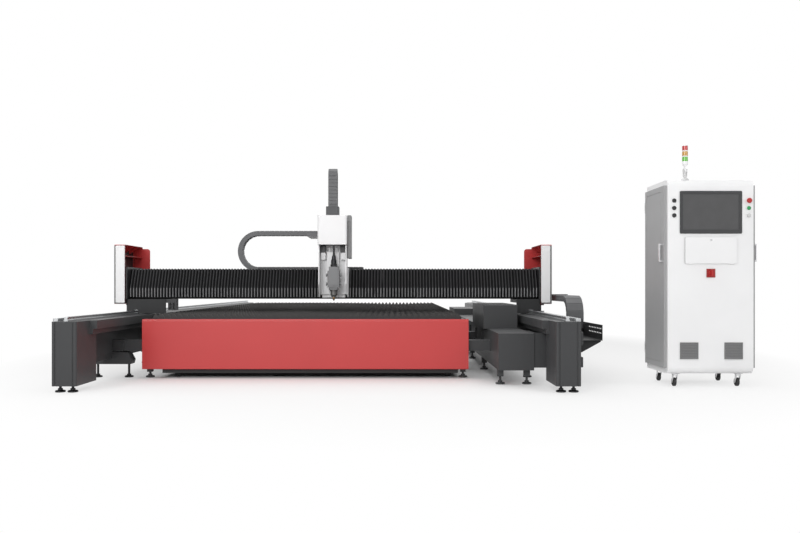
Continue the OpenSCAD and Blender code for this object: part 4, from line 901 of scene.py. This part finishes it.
# %% Floor
FLOOR_SIZE, FLOOR_Z = 160, -0.001
FLOOR_PALE = (0.9, 0.9, 0.9)
FLOOR_X, FLOOR_Y = 3.7, 5.0
UNDER_X, UNDER_Y = 2.0, 4.1
NEAR_WHITE = 0.62
PURE_WHITE = (1, 1, 1, 1)
SEEN_RAYS = ("Is Camera Ray", "Is Glossy Ray", "Is Transmission Ray")


def seen_directly(nodes):
    """1 for rays from the camera, from metal or through glass, else 0."""
    camera_ray, glossy_ray, through_ray = [
        nodes.node("ShaderNodeLightPath", {}, {}, ray) for ray in SEEN_RAYS
    ]
    return camera_ray.larger(glossy_ray).larger(through_ray)


def white_share(made):
    """Share of plain white in the floor: 0 under the machine, more around it, 1 farther off."""
    scaled = made.stretched(1 / FLOOR_X, 1 / FLOOR_Y, 0)
    far = made.node("ShaderNodeVectorMath", {"operation": "LENGTH"}, {0: scaled}, "Value")
    across = abs((made.along("X") - centre_x) / UNDER_X)
    along = abs(made.along("Y") / UNDER_Y)
    around = made.ramp(across.larger(along), 0.8, 1.05)
    return made.ramp(far, 0.95, 1.3) * (1 - NEAR_WHITE) + around * NEAR_WHITE


bpy.ops.object.select_all(action="DESELECT")
bpy.ops.mesh.primitive_plane_add(size=FLOOR_SIZE, location=(0, 0, FLOOR_Z))
floor = bpy.context.object
floor.name = "floor"
paper = Finish("pale_floor", FLOOR_PALE, 0.7)
paper.set("Specular IOR Level", 0.1)
factor = white_share(paper) * seen_directly(paper)
lit = Value(paper, paper.shader.outputs["BSDF"])
white = paper.node("ShaderNodeEmission", {}, {"Color": PURE_WHITE, "Strength": 1.0})
surface = paper.node("ShaderNodeMixShader", {}, {0: factor, 1: lit, 2: white})
paper.fill(paper.tree.nodes["Material Output"].inputs["Surface"], surface)
paper.use(floor)
print("floor laid:", FLOOR_SIZE, "m wide")

# %% [markdown]
# Behind the machine the picture is plain white too. A bright world would do that, but it would also
# light the machine from all sides and wash out its shadows. So the world is white only where it is seen
# directly or mirrored, and gives a weak even fill otherwise.

# %% World
FILL = 0.23
world = bpy.data.worlds.new("studio")
bpy.context.scene.world = world
world.use_nodes = True
world.node_tree.nodes.clear()
sky = Nodes(world.node_tree)
fill = sky.node("ShaderNodeBackground", {}, {"Color": PURE_WHITE, "Strength": FILL})
backdrop = sky.node("ShaderNodeBackground", {}, {"Color": PURE_WHITE, "Strength": 1.0})
shown = sky.node("ShaderNodeMixShader", {}, {0: seen_directly(sky), 1: fill, 2: backdrop})
sky.node("ShaderNodeOutputWorld", {}, {"Surface": shown})
print("world fill:", FILL)

# %% [markdown]
# The photo's light is soft: tops are bright, fronts a little less, and shadows have no hard edge. A sun
# would draw hard edges, so three large area lights are used, as in a studio: a wide one overhead, one
# from the front left for the red panel and the cabinet, and a weak one from the right.

# %% Lights


def soft_box(name, place, aim, size, watts):
    """A large area light that looks at a point."""
    bpy.ops.object.select_all(action="DESELECT")
    turn = (aim - place).to_track_quat("-Z", "Y").to_euler()
    bpy.ops.object.light_add(type="AREA", location=place, rotation=turn)
    light = bpy.context.object
    light.name = name
    light.data.shape = "RECTANGLE"
    light.data.size, light.data.size_y = size
    light.data.energy = watts


soft_box("overhead_box", at(300, 3000, 6500), at(300, 3000, 0), size=(9, 11), watts=400)
soft_box("front_box", at(-2500, -8500, 4200), at(500, 1500, 700), size=(7, 4), watts=560)
soft_box("right_box", at(7500, -3500, 3800), at(1800, 1500, 700), size=(4, 4), watts=90)
print("lights set:", len(bpy.data.lights))
